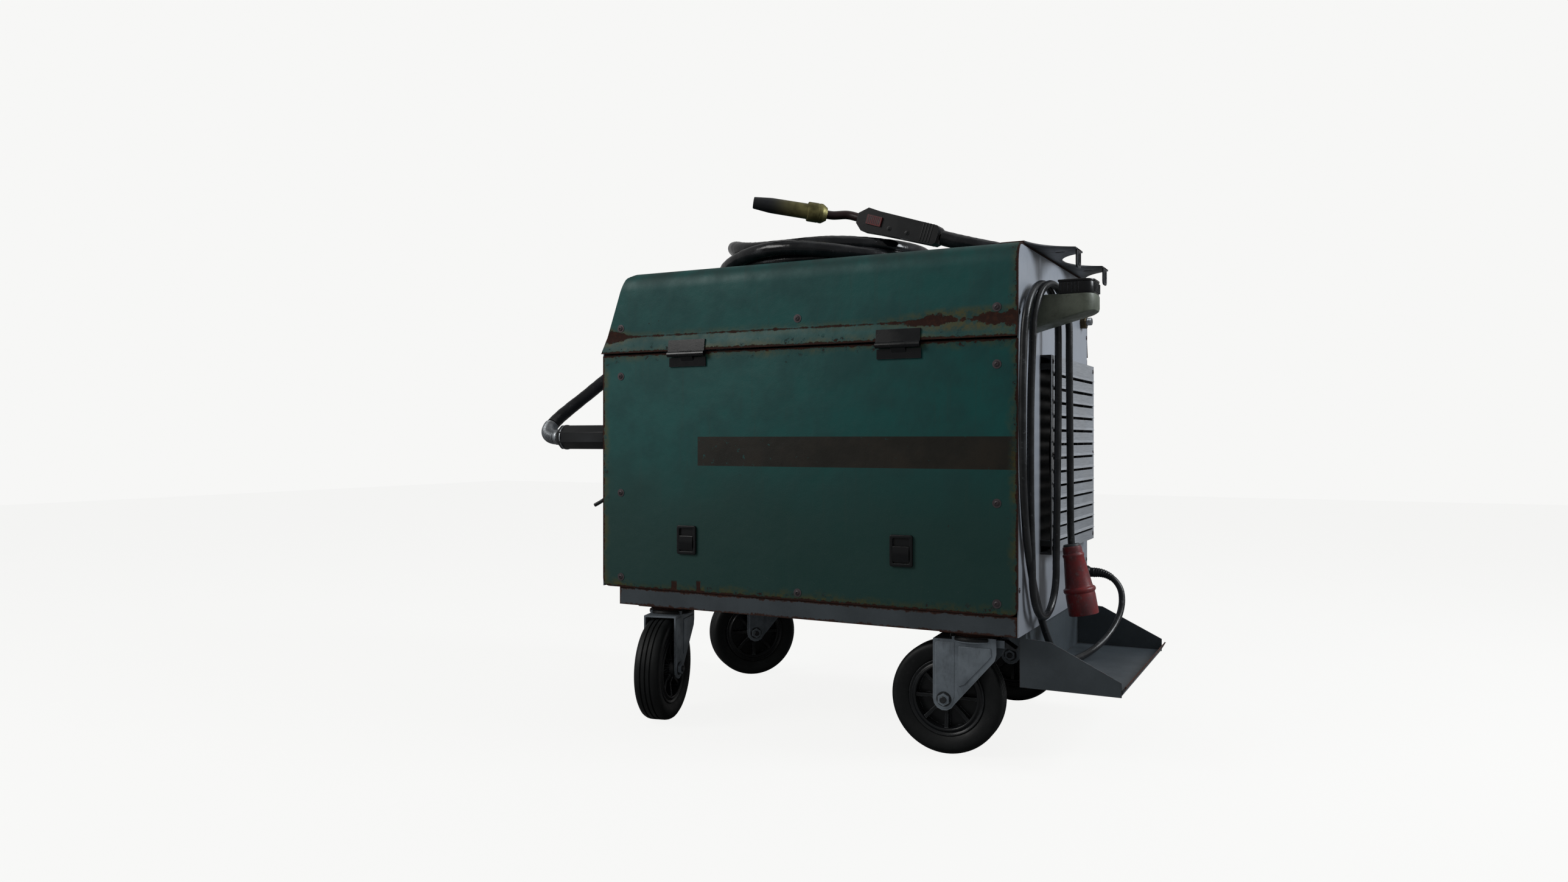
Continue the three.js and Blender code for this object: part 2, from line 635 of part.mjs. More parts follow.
function frontLever() {
  const { y, z } = LEVER;
  const foot = vec(FRONT, y, z);
  const rod = tube([[FRONT - 12, y, z], [FRONT - 30, y - 1, z - 14], [FRONT - 50, y - 4, z - 25]], 4, 8, 4);
  return joined(bar(9, 8, foot, forward, 16), bar(6, 16, foot, forward, 12), rod);
}

add('torch_socket', 'brass', torchSocket());
add('torch_plug', 'black', joined(torchPlug(), hoseSpring()));
add('voltage_switch', 'black', knob(28, 24, onSlope(130, 80), OUTWARD));
add('wire_speed_knob', 'black', knob(20, 20, onSlope(250, 80), OUTWARD));
add('panel_meter', 'glossBlack', meter());
add('mains_switch', 'red', knob(30, 26, vec(FRONT, 440, 620), forward));
add('earth_socket', 'black', sleeve(7, 24, 16, vec(FRONT, 430, 330), forward));
add('gas_test_lever', 'black', frontLever());

// ---- castors: swivel axis on the group's own origin, wheel trailing toward -X ----
function forkLeg(side) {
  const { trail } = WHEEL;
  const { inside, plate, crown, crownLow, crownHigh, strip } = FORK;
  const shape = new THREE.Shape();
  const bottom = 20;
  shape.moveTo(-trail - strip, crownLow);
  shape.lineTo(-trail - strip, WHEEL.radius);
  shape.absarc(-trail, WHEEL.radius, bottom, Math.PI, 2 * Math.PI - 0.4, false);
  shape.lineTo(crown - 3, 172);
  shape.lineTo(crown, 184);
  shape.lineTo(crown, crownHigh);
  shape.lineTo(-trail + 14, crownHigh);
  shape.lineTo(-trail + 14, crownLow + 3);
  shape.lineTo(-trail - strip, crownLow + 3);
  return side > 0 ? prismY(shape, inside, inside + plate) : prismY(shape, -inside - plate, -inside);
}

// Two lugs under the crown with the brake pedal's pin between them.
function brakeSeat() {
  const near = BRAKE.half + 2 * GAP;
  const far = near + BRAKE.lug;
  const lugs = [[-far, -near], [near, far]].map(([y0, y1]) => block(34, BRAKE.x + 5, y0, y1, 193, 206));
  return [...lugs, bar(BRAKE.pin, 2 * far, vec(BRAKE.x, -far, BRAKE.z), Y, 12)];
}

function fork(brake) {
  const { trail } = WHEEL;
  const { inside, plate, crown, crownLow, crownHigh, strip } = FORK;
  const outside = inside + plate;
  const height = crownHigh - crownLow;
  const disc = bar(crown, height, vec(0, 0, crownLow), Z, 20);
  const shoulders = block(-trail + 14, crown - 8, -outside, outside, crownLow, crownHigh);
  const bridge = block(-trail - strip, -trail + 20, -outside, outside, crownLow, crownLow + 3);
  const axle = bar(WHEEL.axle, 2 * outside + 14, vec(-trail, -outside - 7, WHEEL.radius), Y, 16);
  const heads = [-outside - 7, outside - 1].map((y) => hexBar(19, 8, vec(-trail, y, WHEEL.radius), Y));
  const seat = brake ? brakeSeat() : [];
  const body = joined(forkLeg(1), forkLeg(-1), disc, shoulders, bridge, axle, ...heads, ...seat);
  return cut(body, bar(7.6, 30, vec(0, 0, 190), Z, 8));
}

function rim() {
  const { bead, rimInner, hub, axle, trail, radius } = WHEEL;
  const centre = vec(-trail, 0, radius);
  const half = 21;
  const spokes = [];
  for (let i = 0; i < 4; i += 1) {
    const spoke = new THREE.BoxGeometry(2 * rimInner + 4, 2 * half - 14, 6);
    spoke.rotateY((Math.PI * i) / 4);
    spokes.push(spoke.translate(centre.x, centre.y, centre.z));
  }
  const felloe = sleeve(rimInner, bead, 2 * half, vec(-trail, -half, radius), Y, 24);
  const web = bar(rimInner + 2, 5, vec(-trail, -2.5, radius), Y, 16);
  const boss = bar(hub, 56, vec(-trail, -28, radius), Y, 12);
  return cut(joined(felloe, web, boss, ...spokes), bar(axle + 0.5, 80, vec(-trail, -40, radius), Y, 12));
}

function tyre() {
  const { radius, width, bead, trail } = WHEEL;
  const half = width / 2;
  const inner = bead + GAP;
  const profile = [
    [inner, -19], [radius - 14, -half], [radius - 4, -half + 4], [radius, -half + 10],
    [radius, half - 10], [radius - 4, half - 4], [radius - 14, half], [inner, 19], [inner, -19],
  ];
  return turned(profile, vec(-trail, 0, radius), Y, 24);
}

// The brake pedal behind the crown, bored for its pin.
function brakePedal() {
  const { x, z, pin, half } = BRAKE;
  const outline = [
    [x - 5, z - 5], [x + 5, z - 5], [x + 22, z - 10], [x + 23, z - 6.5], [x + 6, z + 4.5], [x - 5, z + 4.5],
  ];
  return cut(prismY(outline, -half, half), bar(pin + 0.4, 2 * half + 4, vec(x, -half - 2, z), Y, 12));
}

CASTORS.forEach(({ name, x, y, turn, brake }) => {
  const castor = new THREE.Group();
  castor.position.set(x, y, 0);
  castor.rotation.z = THREE.MathUtils.degToRad(turn);
  machine.add(castor);
  add(`fork_${name}`, 'zinc', fork(brake), castor);
  add(`rim_${name}`, 'glossBlack', rim(), castor);
  add(`tyre_${name}`, 'rubber', tyre(), castor);
  if (brake) add(`brake_${name}`, 'steel', brakePedal(), castor);
});

// ---- torch and its hose ----
const TORCH = {
  back: vec(-192, 160, 932),
  front: vec(-353, 160, 983),
  neck: vec(-418, 140, 993),
  tip: vec(-536, 58, 1012),
  high: 40,
  wide: 34,
  trigger: vec(-318, 160, 972),
};
const handleWay = TORCH.front.clone().sub(TORCH.back).normalize();
const handleUp = new THREE.Vector3().crossVectors(handleWay, Y).normalize();

// An outline in (along, up) from the torch handle's back end, made solid between two places across it.
function handlePrism(outline, near, far) {
  const start = TORCH.back.clone().addScaledVector(Y, far);
  return prism(outline, far - near, start, handleWay, handleUp);
}

function torchHandle() {
  const length = TORCH.front.distanceTo(TORCH.back);
  const half = TORCH.high / 2;
  const outline = [
    [0, -half + 5], [6, -half + 1], [length - 44, -half], [length - 18, -half - 2], [length, -half + 12],
    [length, half - 8], [length - 14, half + 4], [length - 44, half + 2], [6, half - 2], [0, half - 7],
  ];
  const seat = block(-1, 1, -1, 1, -1, 1);
  seat.scale(16, 7, 9.5);
  const pocket = placedOnHandle(seat, TORCH.trigger, -TORCH.wide / 2 + 2);
  const hoseSeat = bar(6, 8, TORCH.back.clone().addScaledVector(handleWay, -GAP), handleWay, 12);
  return cut(handlePrism(outline, -TORCH.wide / 2, TORCH.wide / 2), pocket, hoseSeat);
}

// A piece drawn at the origin, put at a point of the handle, some way across it.
function placedOnHandle(geometry, point, across) {
  const basis = new THREE.Matrix4().makeBasis(handleWay, Y, new THREE.Vector3().crossVectors(handleWay, Y));
  geometry.applyMatrix4(basis);
  return geometry.translate(point.x, point.y + across, point.z);
}

function torchTrigger() {
  const shape = block(-1, 1, -1, 1, -1, 1);
  shape.scale(15.5, 4.5, 9);
  return placedOnHandle(shape, TORCH.trigger, -TORCH.wide / 2 + 0.6);
}

function torchNeck() {
  const start = TORCH.front.clone().addScaledVector(handleWay, GAP);
  const into = TORCH.tip.clone().sub(TORCH.neck).normalize();
  const middle = TORCH.front.clone().addScaledVector(handleWay, 30);
  const end = TORCH.neck.clone().addScaledVector(into, 8);
  const bent = TORCH.neck.clone().addScaledVector(into, -12);
  const points = [start, middle, bent, end].map((p) => p.toArray());
  const contactTip = bar(5, TORCH.tip.distanceTo(end) + 2, end.clone().addScaledVector(into, -4), into, 12);
  return joined(tube(points, 8.5, 12, 10), contactTip);
}

function torchNozzle() {
  const into = TORCH.tip.clone().sub(TORCH.neck).normalize();
  const length = TORCH.tip.distanceTo(TORCH.neck);
  const profile = [
    [9.1, 0], [13, 0], [19, 9], [19, 38], [15, 38.5], [14.5, length - 34], [11, length],
    [9, length], [11, length - 36], [11, 10], [9.1, 8], [9.1, 0],
  ];
  return turned(profile, TORCH.neck, into);
}

add('torch_handle', 'black', torchHandle());
add('torch_trigger', 'red', torchTrigger());
add('torch_neck', 'black', torchNeck());
add('torch_nozzle', 'brass', torchNozzle());

const coilFoot = vec(COIL.x, COIL.y, COIL.low);
const coilHeight = COIL.high - COIL.low;
const roomFoot = vec(COIL.x, COIL.y, COIL.low - GAP);
const coilRoom = sleeve(COIL.inner - GAP, COIL.outer + GAP, coilHeight + 2 * GAP, roomFoot, Z, 40);
const hoseUp = [
  [-1081, 117.8, 585.4], [-1080.6, 128, 593], [-1076.5, 145, 606.5], [-1066, 167, 625.5],
  [-1044, 204, 659], [-1000, 268, 722], [-946, 335, 795], [-886, 398, 862], [-820, 445, 903],
  [-740, 474, 908], [-650, 485, 900.4], [-560, 484, 900.4],
];
// The turn at the rear of the lid, which ends climbing towards the handle.
const HOSE_TURN = { x: -176, y: 272, radius: 112, low: 900.4, climb: 5.6, step: Math.PI / 9 };

function hoseTurn() {
  const { x, y, radius, low, climb, step } = HOSE_TURN;
  return [2, 1, 0, -1, -2].map((i) => {
    const rise = climb * (Math.max(0, -i) / 2) ** 1.5;
    return [x + radius * Math.cos(i * step), y + radius * Math.sin(i * step), low + rise];
  });
}

const hoseDown = [
  [-385, 465, 949], [-325, 452, 943.5], [-265, 434, 931], [-212, 415, 918], [-165, 393, 907.5],
  [-120, 369, 901.5],
  ...hoseTurn(),
  [-120, 175, 911.5], [-154, 162.3, 920], [-187, 160, 930.4],
];
add('hose_up', 'glossBlack', cut(tube(hoseUp, HOSE.radius, HOSE.sides, 26), coilRoom));
add('hose_coil', 'glossBlack', sleeve(COIL.inner, COIL.outer, coilHeight, coilFoot, Z, 40));
add('hose_down', 'glossBlack', cut(tube(hoseDown, HOSE.radius, HOSE.sides, 18), coilRoom));

// ---- mains cable and plug ----
// The two loops over the hook and the one hanging below it. Reach and drop are those of the near and the
// far side from the crown; x goes evenly from its first value to its second.
const FIRST_ARCH = { y: 99.5, top: 822, reach: [97.5, 62], drop: [85, 62], x: [10, 28] };
const SECOND_ARCH = { y: 103, top: 822, reach: [68, 62], drop: [68, 62], x: [17, 46.5] };
const LOW_LOOP = { y: 95, z: 302, radius: 57, x: [27, 15] };

function archPoints({ y, top, reach, drop, x }) {
  const points = [];
  for (let i = -5; i <= 5; i += 1) {
    const side = i < 0 ? 0 : 1;
    const angle = (Math.PI * i) / 10;
    const across = y + reach[side] * Math.sin(angle);
    const up = top - drop[side] * (1 - Math.cos(angle));
    points.push([THREE.MathUtils.lerp(...x, (i + 5) / 10), across, up]);
  }
  return points;
}

function loopPoints({ y, z, radius, x }) {
  const points = [];
  for (let i = 0; i <= 6; i += 1) {
    const angle = (Math.PI * i) / 6;
    const along = THREE.MathUtils.lerp(...x, i / 6);
    points.push([along, y + radius * Math.cos(angle), z - radius * Math.sin(angle)]);
  }
  return points;
}

const mainsRoute = [
  [30.2, 470, 281], [42, 470, 280.7], [57, 470, 276.5], [72, 469.5, 266], [82.5, 467, 250],
  [86.5, 461, 230], [85.5, 449, 208], [79.5, 429, 186], [69, 401, 165], [56.5, 369, 150],
  [45, 337, 141.5], [36.5, 304, 138.7], [31, 272, 138.4], [27, 232, 140], [24, 190, 153],
  [21, 148, 181], [16, 104, 230], [12, 60, 296], [9.5, 25, 372], [8.5, 6, 450], [8.5, -3, 540],
  [8.5, -3.5, 640], [9, -1, 690],
  ...archPoints(FIRST_ARCH),
  [29, 160.5, 690], [29.5, 158, 600], [29, 155, 500], [28.2, 153, 400], [27.5, 152.3, 340],
  ...loopPoints(LOW_LOOP),
  [14, 37, 345], [12.5, 35, 420], [12, 34, 540], [13, 34, 640], [15, 34.5, 700],
  ...archPoints(SECOND_ARCH),
  [47.3, 165.5, 690], [47.5, 168.5, 600], [47.5, 173, 490], [46.9, 177.5, 420], [46.9, 179.8, 390],
  [48.1, 180.6, 363],
];
const PLUG = { top: vec(48.5, 180.6, 361), bottom: vec(70, 182, 240) };

function mainsPlug() {
  const way = PLUG.bottom.clone().sub(PLUG.top).normalize();
  const length = PLUG.top.distanceTo(PLUG.bottom);
  const profile = [
    [0, 0], [16, 0], [18, 14], [24, 70], [28, 76], [28, 82], [26, 86], [26.5, length],
    [22.5, length], [21.5, length - 30], [0, length - 30],
  ];
  const seat = PLUG.top.clone().addScaledVector(way, length - 32);
  const across = new THREE.Vector3().crossVectors(way, Y).normalize();
  const over = new THREE.Vector3().crossVectors(way, across).normalize();
  const pins = [0, 1, 2, 3, 4].map((i) => {
    const angle = (2 * Math.PI * i) / 5;
    const place = seat.clone();
    place.addScaledVector(across, 13 * Math.cos(angle));
    place.addScaledVector(over, 13 * Math.sin(angle));
    return bar(2.8, 26, place, way, 6);
  });
  return joined(turned(profile, PLUG.top, way), ...pins);
}

add('mains_cable', 'black', tube(mainsRoute, CABLE.radius, CABLE.sides, 70));
add('mains_plug', 'red', mainsPlug());

// ---- origin: the middle of the machine's outline, on the floor ----
const CENTRE = vec(-464.861, 231.71, 0);
const assembly = new THREE.Group();
machine.position.copy(CENTRE).negate();
assembly.add(machine);

export default assembly;
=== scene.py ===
import functools
import math

import bmesh
import bpy
from mathutils import Matrix, Vector, noise


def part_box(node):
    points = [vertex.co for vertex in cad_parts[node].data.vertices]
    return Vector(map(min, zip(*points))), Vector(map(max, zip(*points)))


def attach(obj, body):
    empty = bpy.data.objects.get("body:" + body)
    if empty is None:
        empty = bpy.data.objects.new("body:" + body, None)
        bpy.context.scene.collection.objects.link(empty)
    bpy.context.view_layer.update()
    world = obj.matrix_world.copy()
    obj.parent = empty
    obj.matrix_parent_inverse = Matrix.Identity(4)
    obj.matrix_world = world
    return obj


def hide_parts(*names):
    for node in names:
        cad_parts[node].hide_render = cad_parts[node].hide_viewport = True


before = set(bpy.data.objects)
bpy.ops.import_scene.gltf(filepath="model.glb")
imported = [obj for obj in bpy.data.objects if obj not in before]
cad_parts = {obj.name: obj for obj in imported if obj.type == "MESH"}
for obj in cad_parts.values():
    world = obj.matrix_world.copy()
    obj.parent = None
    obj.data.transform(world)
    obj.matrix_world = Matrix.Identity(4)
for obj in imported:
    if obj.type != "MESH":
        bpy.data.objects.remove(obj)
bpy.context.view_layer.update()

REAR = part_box("rear_panel")[1].x
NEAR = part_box("side_door")[0].y
X, Y, Z = Vector((1, 0, 0)), Vector((0, 1, 0)), Vector((0, 0, 1))

LENGTH = 0.854  # cabinet, door's front edge to the rear panel
WIDTH = 0.546  # cabinet, door face to the far side panel
LID_LOW, LID_CREASE, LID_TOP, LID_FRONT = 0.725, 0.759, 0.885, -0.798
DOOR_LOW, DOOR_HIGH = 0.2555, 0.722
BAND_LOW, BAND_HIGH = 0.501, 0.558  # the door's dark band


def place(x, y, z):
    return Vector((REAR + x, NEAR + y, z))


# The rear panel's area behind the louvre, painted black as shade.
SHADED_BEHIND_LOUVRE = (place(-0.003, 0.149, 0.349), place(0.003, 0.512, 0.701))

# ---- camera ----
CAMERA_YAW = math.radians(27.484)
CAMERA_PITCH = math.radians(-0.099)


def make_camera():
    data = bpy.data.cameras.new("camera")
    data.lens = 24.617
    data.sensor_width = 36.0
    camera = bpy.data.objects.new("camera", data)
    camera.location = place(0.478, -1.763, 0.5528)
    camera.rotation_euler = (math.pi / 2 + CAMERA_PITCH, 0, CAMERA_YAW)
    bpy.context.scene.collection.objects.link(camera)
    bpy.context.scene.camera = camera


make_camera()


# ---- shapes ----
def basis(origin, across, up):
    """The matrix that puts (x, y, z) at origin + x * across + y * up + z * (across x up)."""
    along = across.cross(up)
    return Matrix.Translation(origin) @ Matrix((across, up, along)).transposed().to_4x4()


def turn_to(origin, axis):
    """The matrix that puts +Z on an axis, with its origin at a point."""
    return Matrix.Translation(origin) @ Vector(axis).to_track_quat("Z", "Y").to_matrix().to_4x4()


class Shape:
    """Closed solids gathered in one mesh, which becomes one piece."""

    def __init__(self):
        self.bm = bmesh.new()

    def skin(self, rings, loop=False):
        """Joins rings of points; a ring of one point is a pole, and loop joins the last ring to the first."""
        made = [[self.bm.verts.new(p) for p in ring] for ring in rings]
        pairs = list(zip(made, made[1:])) + ([(made[-1], made[0])] if loop else [])
        for a, b in pairs:
            count = max(len(a), len(b))
            for i in range(count):
                j = (i + 1) % count
                if len(a) == 1:
                    corners = (a[0], b[j], b[i])
                elif len(b) == 1:
                    corners = (a[i], a[j], b[0])
                else:
                    corners = (a[i], a[j], b[j], b[i])
                self.bm.faces.new(corners)
        if not loop:
            for ring in (made[0], made[-1]):
                if len(ring) > 2:
                    self.bm.faces.new(ring)
        return self

    def lathe(self, profile, matrix, segments=40, closed=False):
        """Turns (radius, height) points about the matrix's Z axis."""
        rings = []
        for radius, height in profile:
            if radius < 1e-6:
                rings.append([matrix @ Vector((0, 0, height))])
                continue
            angles = [2 * math.pi * i / segments for i in range(segments)]
            ring = [Vector((radius * math.cos(a), radius * math.sin(a), height)) for a in angles]
            rings.append([matrix @ p for p in ring])
        return self.skin(rings, closed)

    def rod(self, radius, length, start, axis, segments=24):
        return self.lathe([(radius, 0), (radius, length)], turn_to(start, axis), segments)

    def block(self, low, high, matrix=Matrix()):
        """A box drawn in a matrix's own axes."""
        (x0, y0, z0), (x1, y1, z1) = low, high
        ring = [(x0, y0), (x1, y0), (x1, y1), (x0, y1)]
        return self.skin([[matrix @ Vector((x, y, z)) for x, y in ring] for z in (z0, z1)])

    def prism(self, outline, depth, matrix):
        return self.skin([[matrix @ Vector((a, b, h)) for a, b in outline] for h in (0, depth)])

    def plate(self, outlines, thickness, matrix, round_edge=0.0):
        """A flat plate of (x, y) outlines, the inner ones being holes, with its edges rounded."""
        curve = bpy.data.curves.new("plate", "CURVE")
        curve.dimensions = "2D"
        curve.fill_mode = "BOTH"
        curve.extrude = thickness / 2 - round_edge
        curve.bevel_depth = round_edge
        curve.bevel_resolution = 2
        curve.offset = -round_edge
        for outline in outlines:
            spline = curve.splines.new("POLY")
            spline.points.add(len(outline) - 1)
            spline.use_cyclic_u = True
            for point, (a, b) in zip(spline.points, outline):
                point.co = (a, b, 0, 1)
        holder = bpy.data.objects.new("plate", curve)
        mesh = bpy.data.meshes.new_from_object(holder)
        mesh.transform(matrix @ Matrix.Translation((0, 0, thickness / 2)))
        self.bm.from_mesh(mesh)
        bmesh.ops.remove_doubles(self.bm, verts=self.bm.verts, dist=2e-6)
        bpy.data.objects.remove(holder)
        bpy.data.curves.remove(curve)
        bpy.data.meshes.remove(mesh)
        return self

    def tube(self, path, radius, sides):
        """A tube along points; radius is a number or a function of (distance along, angle)."""
        rings, side, run = [], None, 0.0
        for i, point in enumerate(path):
            way = (path[min(i + 1, len(path) - 1)] - path[max(i - 1, 0)]).normalized()
            if side is None:
                side = way.orthogonal().normalized()
            side = (side - way * side.dot(way)).normalized()
            up = way.cross(side)
            if i:
                run += (point - path[i - 1]).length
            ring = []
            for k in range(sides):
                angle = 2 * math.pi * k / sides
                reach = radius(run, angle) if callable(radius) else radius
                ring.append(point + reach * (math.cos(angle) * side + math.sin(angle) * up))
            rings.append(ring)
        return self.skin(rings)


def arc(cx, cy, radius, start, end, steps=6):
    """Points on an arc, angles in degrees."""
    angles = [math.radians(start + (end - start) * i / steps) for i in range(steps + 1)]
    return [(cx + radius * math.cos(a), cy + radius * math.sin(a)) for a in angles]


def round_rect(x0, x1, y0, y1, r, steps=6):
    return (arc(x1 - r, y0 + r, r, -90, 0, steps) + arc(x1 - r, y1 - r, r, 0, 90, steps)
            + arc(x0 + r, y1 - r, r, 90, 180, steps) + arc(x0 + r, y0 + r, r, 180, 270, steps))


def smooth_path(points, step):
    """A centripetal Catmull-Rom curve through points, as points about a step apart."""
    ends = [2 * points[0] - points[1], *points, 2 * points[-1] - points[-2]]
    fine = [points[0]]
    for p0, p1, p2, p3 in zip(ends, ends[1:], ends[2:], ends[3:]):
        knots = [0.0]
        for a, b in ((p0, p1), (p1, p2), (p2, p3)):
            knots.append(knots[-1] + max((b - a).length, 1e-6) ** 0.5)
        t0, t1, t2, t3 = knots
        count = max(2, round((p2 - p1).length / step))
        for i in range(1, count + 1):
            t = t1 + (t2 - t1) * i / count
            a1 = p0.lerp(p1, (t - t0) / (t1 - t0))
            a2 = p1.lerp(p2, (t - t1) / (t2 - t1))
            a3 = p2.lerp(p3, (t - t2) / (t3 - t2))
            b1 = a1.lerp(a2, (t - t0) / (t2 - t0))
            b2 = a2.lerp(a3, (t - t1) / (t3 - t1))
            fine.append(b1.lerp(b2, (t - t1) / (t2 - t1)))
    return fine


def ease(value, low, high):
    share = min(1.0, max(0.0, (value - low) / (high - low)))
    return share * share * (3 - 2 * share)


def bevelled(thing, width, angle=35):
    modifier = thing.modifiers.new("edges", "BEVEL")
    modifier.width = width
    modifier.segments = 2
    modifier.limit_method = "ANGLE"
    modifier.angle_limit = math.radians(angle)
    return modifier


def piece(name, shape, material, body, replaces=(), bevel=0.0, smooth=38):
    """Makes a shape one piece that rides on a body and stands for CAD nodes."""
    mesh = bpy.data.meshes.new(name)
    bmesh.ops.recalc_face_normals(shape.bm, faces=shape.bm.faces)
    shape.bm.to_mesh(mesh)
    shape.bm.free()
    for polygon in mesh.polygons:
        polygon.use_smooth = True
    mesh.materials.append(material)
    made = bpy.data.objects.new(name, mesh)
    bpy.context.scene.collection.objects.link(made)
    if bevel:
        bevelled(made, bevel).harden_normals = True
    else:
        mesh.set_sharp_from_angle(angle=math.radians(smooth))
    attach(made, body)
    if replaces:
        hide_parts(*replaces)
    return made


# ---- materials ----
class Look:
    """One procedural material. A value is a number, a colour or another node's output."""

    def __init__(self, name):
        self.material = bpy.data.materials.new(name)
        self.material.use_nodes = True
        self.tree = self.material.node_tree
        self.shader = self.tree.nodes["Principled BSDF"]
        self.where = self.add("ShaderNodeTexCoord").outputs["Object"]
        split = self.add("ShaderNodeSeparateXYZ", {"Vector": self.where})
        self.axis = {"x": split.outputs[0], "y": split.outputs[1], "z": split.outputs[2]}

    def add(self, kind, inputs=None, **settings):
        node = self.tree.nodes.new(kind)
        for key, value in settings.items():
            setattr(node, key, value)
        for key, value in (inputs or {}).items():
            self.put(node.inputs[key], value)
        return node

    def put(self, socket, value):
        if isinstance(value, bpy.types.NodeSocket):
            self.tree.links.new(value, socket)
        elif socket.type == "RGBA":
            socket.default_value = (*value, 1.0)
        else:
            socket.default_value = value

    def math(self, operation, a, b=0.0):
        return self.add("ShaderNodeMath", {0: a, 1: b}, operation=operation).outputs[0]

    def noise(self, scale, detail=4.0, rough=0.6, stretch=(1, 1, 1)):
        where = self.add("ShaderNodeMapping", {"Vector": self.where, "Scale": stretch}).outputs[0]
        inputs = {"Vector": where, "Scale": scale, "Detail": detail, "Roughness": rough}
        return self.add("ShaderNodeTexNoise", inputs).outputs["Fac"]

    def cells(self, scale):
        inputs = {"Vector": self.where, "Scale": scale}
        return self.add("ShaderNodeTexVoronoi", inputs).outputs["Distance"]

    def plus(self, a, b):
        return self.math("ADD", a, b)

    def minus(self, a, b):
        return self.math("SUBTRACT", a, b)

    def most(self, *values):
        return functools.reduce(lambda a, b: self.math("MAXIMUM", a, b), values)

    def times(self, *values):
        return functools.reduce(lambda a, b: self.math("MULTIPLY", a, b), values)

    def stray(self, value, noise_value, width):
        """A value moved by noise, by up to half a width either way."""
        return self.plus(value, self.times(self.minus(noise_value, 0.5), width))

    def ramp(self, value, low, high):
        """0 at low and 1 at high, smoothly; low may be above high."""
        inputs = {"Value": value, "From Min": low, "From Max": high}
        node = self.add("ShaderNodeMapRange", inputs, interpolation_type="SMOOTHSTEP")
        return node.outputs["Result"]

    def mix(self, share, a, b):
        node = self.add("ShaderNodeMix", data_type="RGBA")
        self.put(node.inputs[0], share)
        self.put(node.inputs[6], a)
        self.put(node.inputs[7], b)
        return node.outputs[2]

    def blend(self, share, a, b):
        """A number between a and b."""
        return self.add("ShaderNodeMix", {0: share, 2: a, 3: b}, data_type="FLOAT").outputs[0]

    def edge_distance(self, low, high, axes):
        """How far a point is from the nearest side of a box, along some axes."""
        nearest = 1.0
        for name in axes:
            i = "xyz".index(name)
            for side in (self.minus(self.axis[name], low[i]), self.minus(high[i], self.axis[name])):
                nearest = self.math("MINIMUM", side, nearest)
        return nearest

    def corners(self, radius):
        """0 on flat places, up to 1 along sharp corners."""
        soft = self.add("ShaderNodeBevel", {"Radius": radius}, samples=4).outputs[0]
        plain = self.add("ShaderNodeNewGeometry").outputs["Normal"]
        dot = self.add("ShaderNodeVectorMath", {0: soft, 1: plain}, operation="DOT_PRODUCT")
        return self.ramp(dot.outputs["Value"], 0.995, 0.9)

    def bump(self, height, strength, distance):
        node = self.add("ShaderNodeBump", {"Height": height, "Strength": strength, "Distance": distance})
        return node.outputs[0]

    def finish(self, colour, rough, metal=0.0, normal=None, specular=0.30):
        self.put(self.shader.inputs["Base Color"], colour)
        self.put(self.shader.inputs["Roughness"], rough)
        self.put(self.shader.inputs["Metallic"], metal)
        if normal is not None:
            self.put(self.shader.inputs["Normal"], normal)
        self.shader.inputs["Specular IOR Level"].default_value = specular
        return self.material


def dimmed(tone, share):
    return tuple(c * share for c in tone)


TEAL = (0.0055, 0.074, 0.069)
TEAL_DEEP = (0.0060, 0.056, 0.054)
# A dirty teal: the stain round rust, and painted shade low down on the panels.
TEAL_DIRT_AND_SHADE = (0.0125, 0.045, 0.040)
HALO = (0.075, 0.062, 0.013)
RUST = (0.024, 0.0085, 0.0055)
RUST_BRIGHT = (0.040, 0.013, 0.007)
# Dust on the lid's top, its tone darkened as painted shade.
DUST_AND_SHADE = (0.016, 0.026, 0.024)


def drips(look, ragged, feet):
    """Rust run down from the bottom edge's chips: (x, width, top) of each."""
    covered = 0.0
    for x, width, top in feet:
        aside = look.stray(look.math("ABSOLUTE", look.minus(look.axis["x"], REAR + x)), ragged, 0.006)
        run = look.times(look.ramp(aside, width, width * 0.7), look.ramp(look.axis["z"], top, top - 0.004))
        covered = look.most(run, covered)
    return covered


def door_band(look, colour, middle):
    """The dark band painted across the door, rubbed through at its rear end."""
    from_rear = look.minus(look.axis["x"], REAR - 0.628)
    up = look.minus(look.axis["z"], BAND_LOW)
    band = look.times(look.ramp(from_rear, 0, 0.001), look.ramp(up, 0, 0.001),
                      look.ramp(up, BAND_HIGH - BAND_LOW, BAND_HIGH - BAND_LOW - 0.001))
    scratched = look.plus(look.noise(90, 8, 0.75), look.times(look.ramp(from_rear, 0.30, 0.02), 0.055))
    band = look.times(band, look.ramp(scratched, 0.68, 0.65))
    dark = look.mix(look.ramp(middle, 0.4, 0.7), (0.0125, 0.0115, 0.0085), (0.019, 0.015, 0.010))
    return look.mix(band, colour, dark)


def crease_wear(look, middle, ragged):
    """Rust along the lid's crease, wide at both ends, and the halo round it."""
    crease = look.math("ABSOLUTE", look.minus(look.axis["z"], LID_CREASE - 0.002))
    ends = look.most(look.ramp(look.axis["x"], REAR - 0.26, REAR - 0.12),
                     look.ramp(look.axis["x"], REAR - 0.77, REAR - 0.83))
    reach = look.blend(ends, 0.0012, 0.012)
    line = look.stray(crease, ragged, look.blend(ends, 0.012, 0.030))
    line = look.plus(line, look.times(look.minus(middle, 0.45), look.blend(ends, 0.0, 0.050)))
    rust = look.ramp(look.minus(line, reach), 0.001, -0.001)
    glow = look.ramp(look.minus(crease, reach), 0.014, 0.0)
    return rust, look.times(glow, look.blend(ends, 0.35, 0.8))


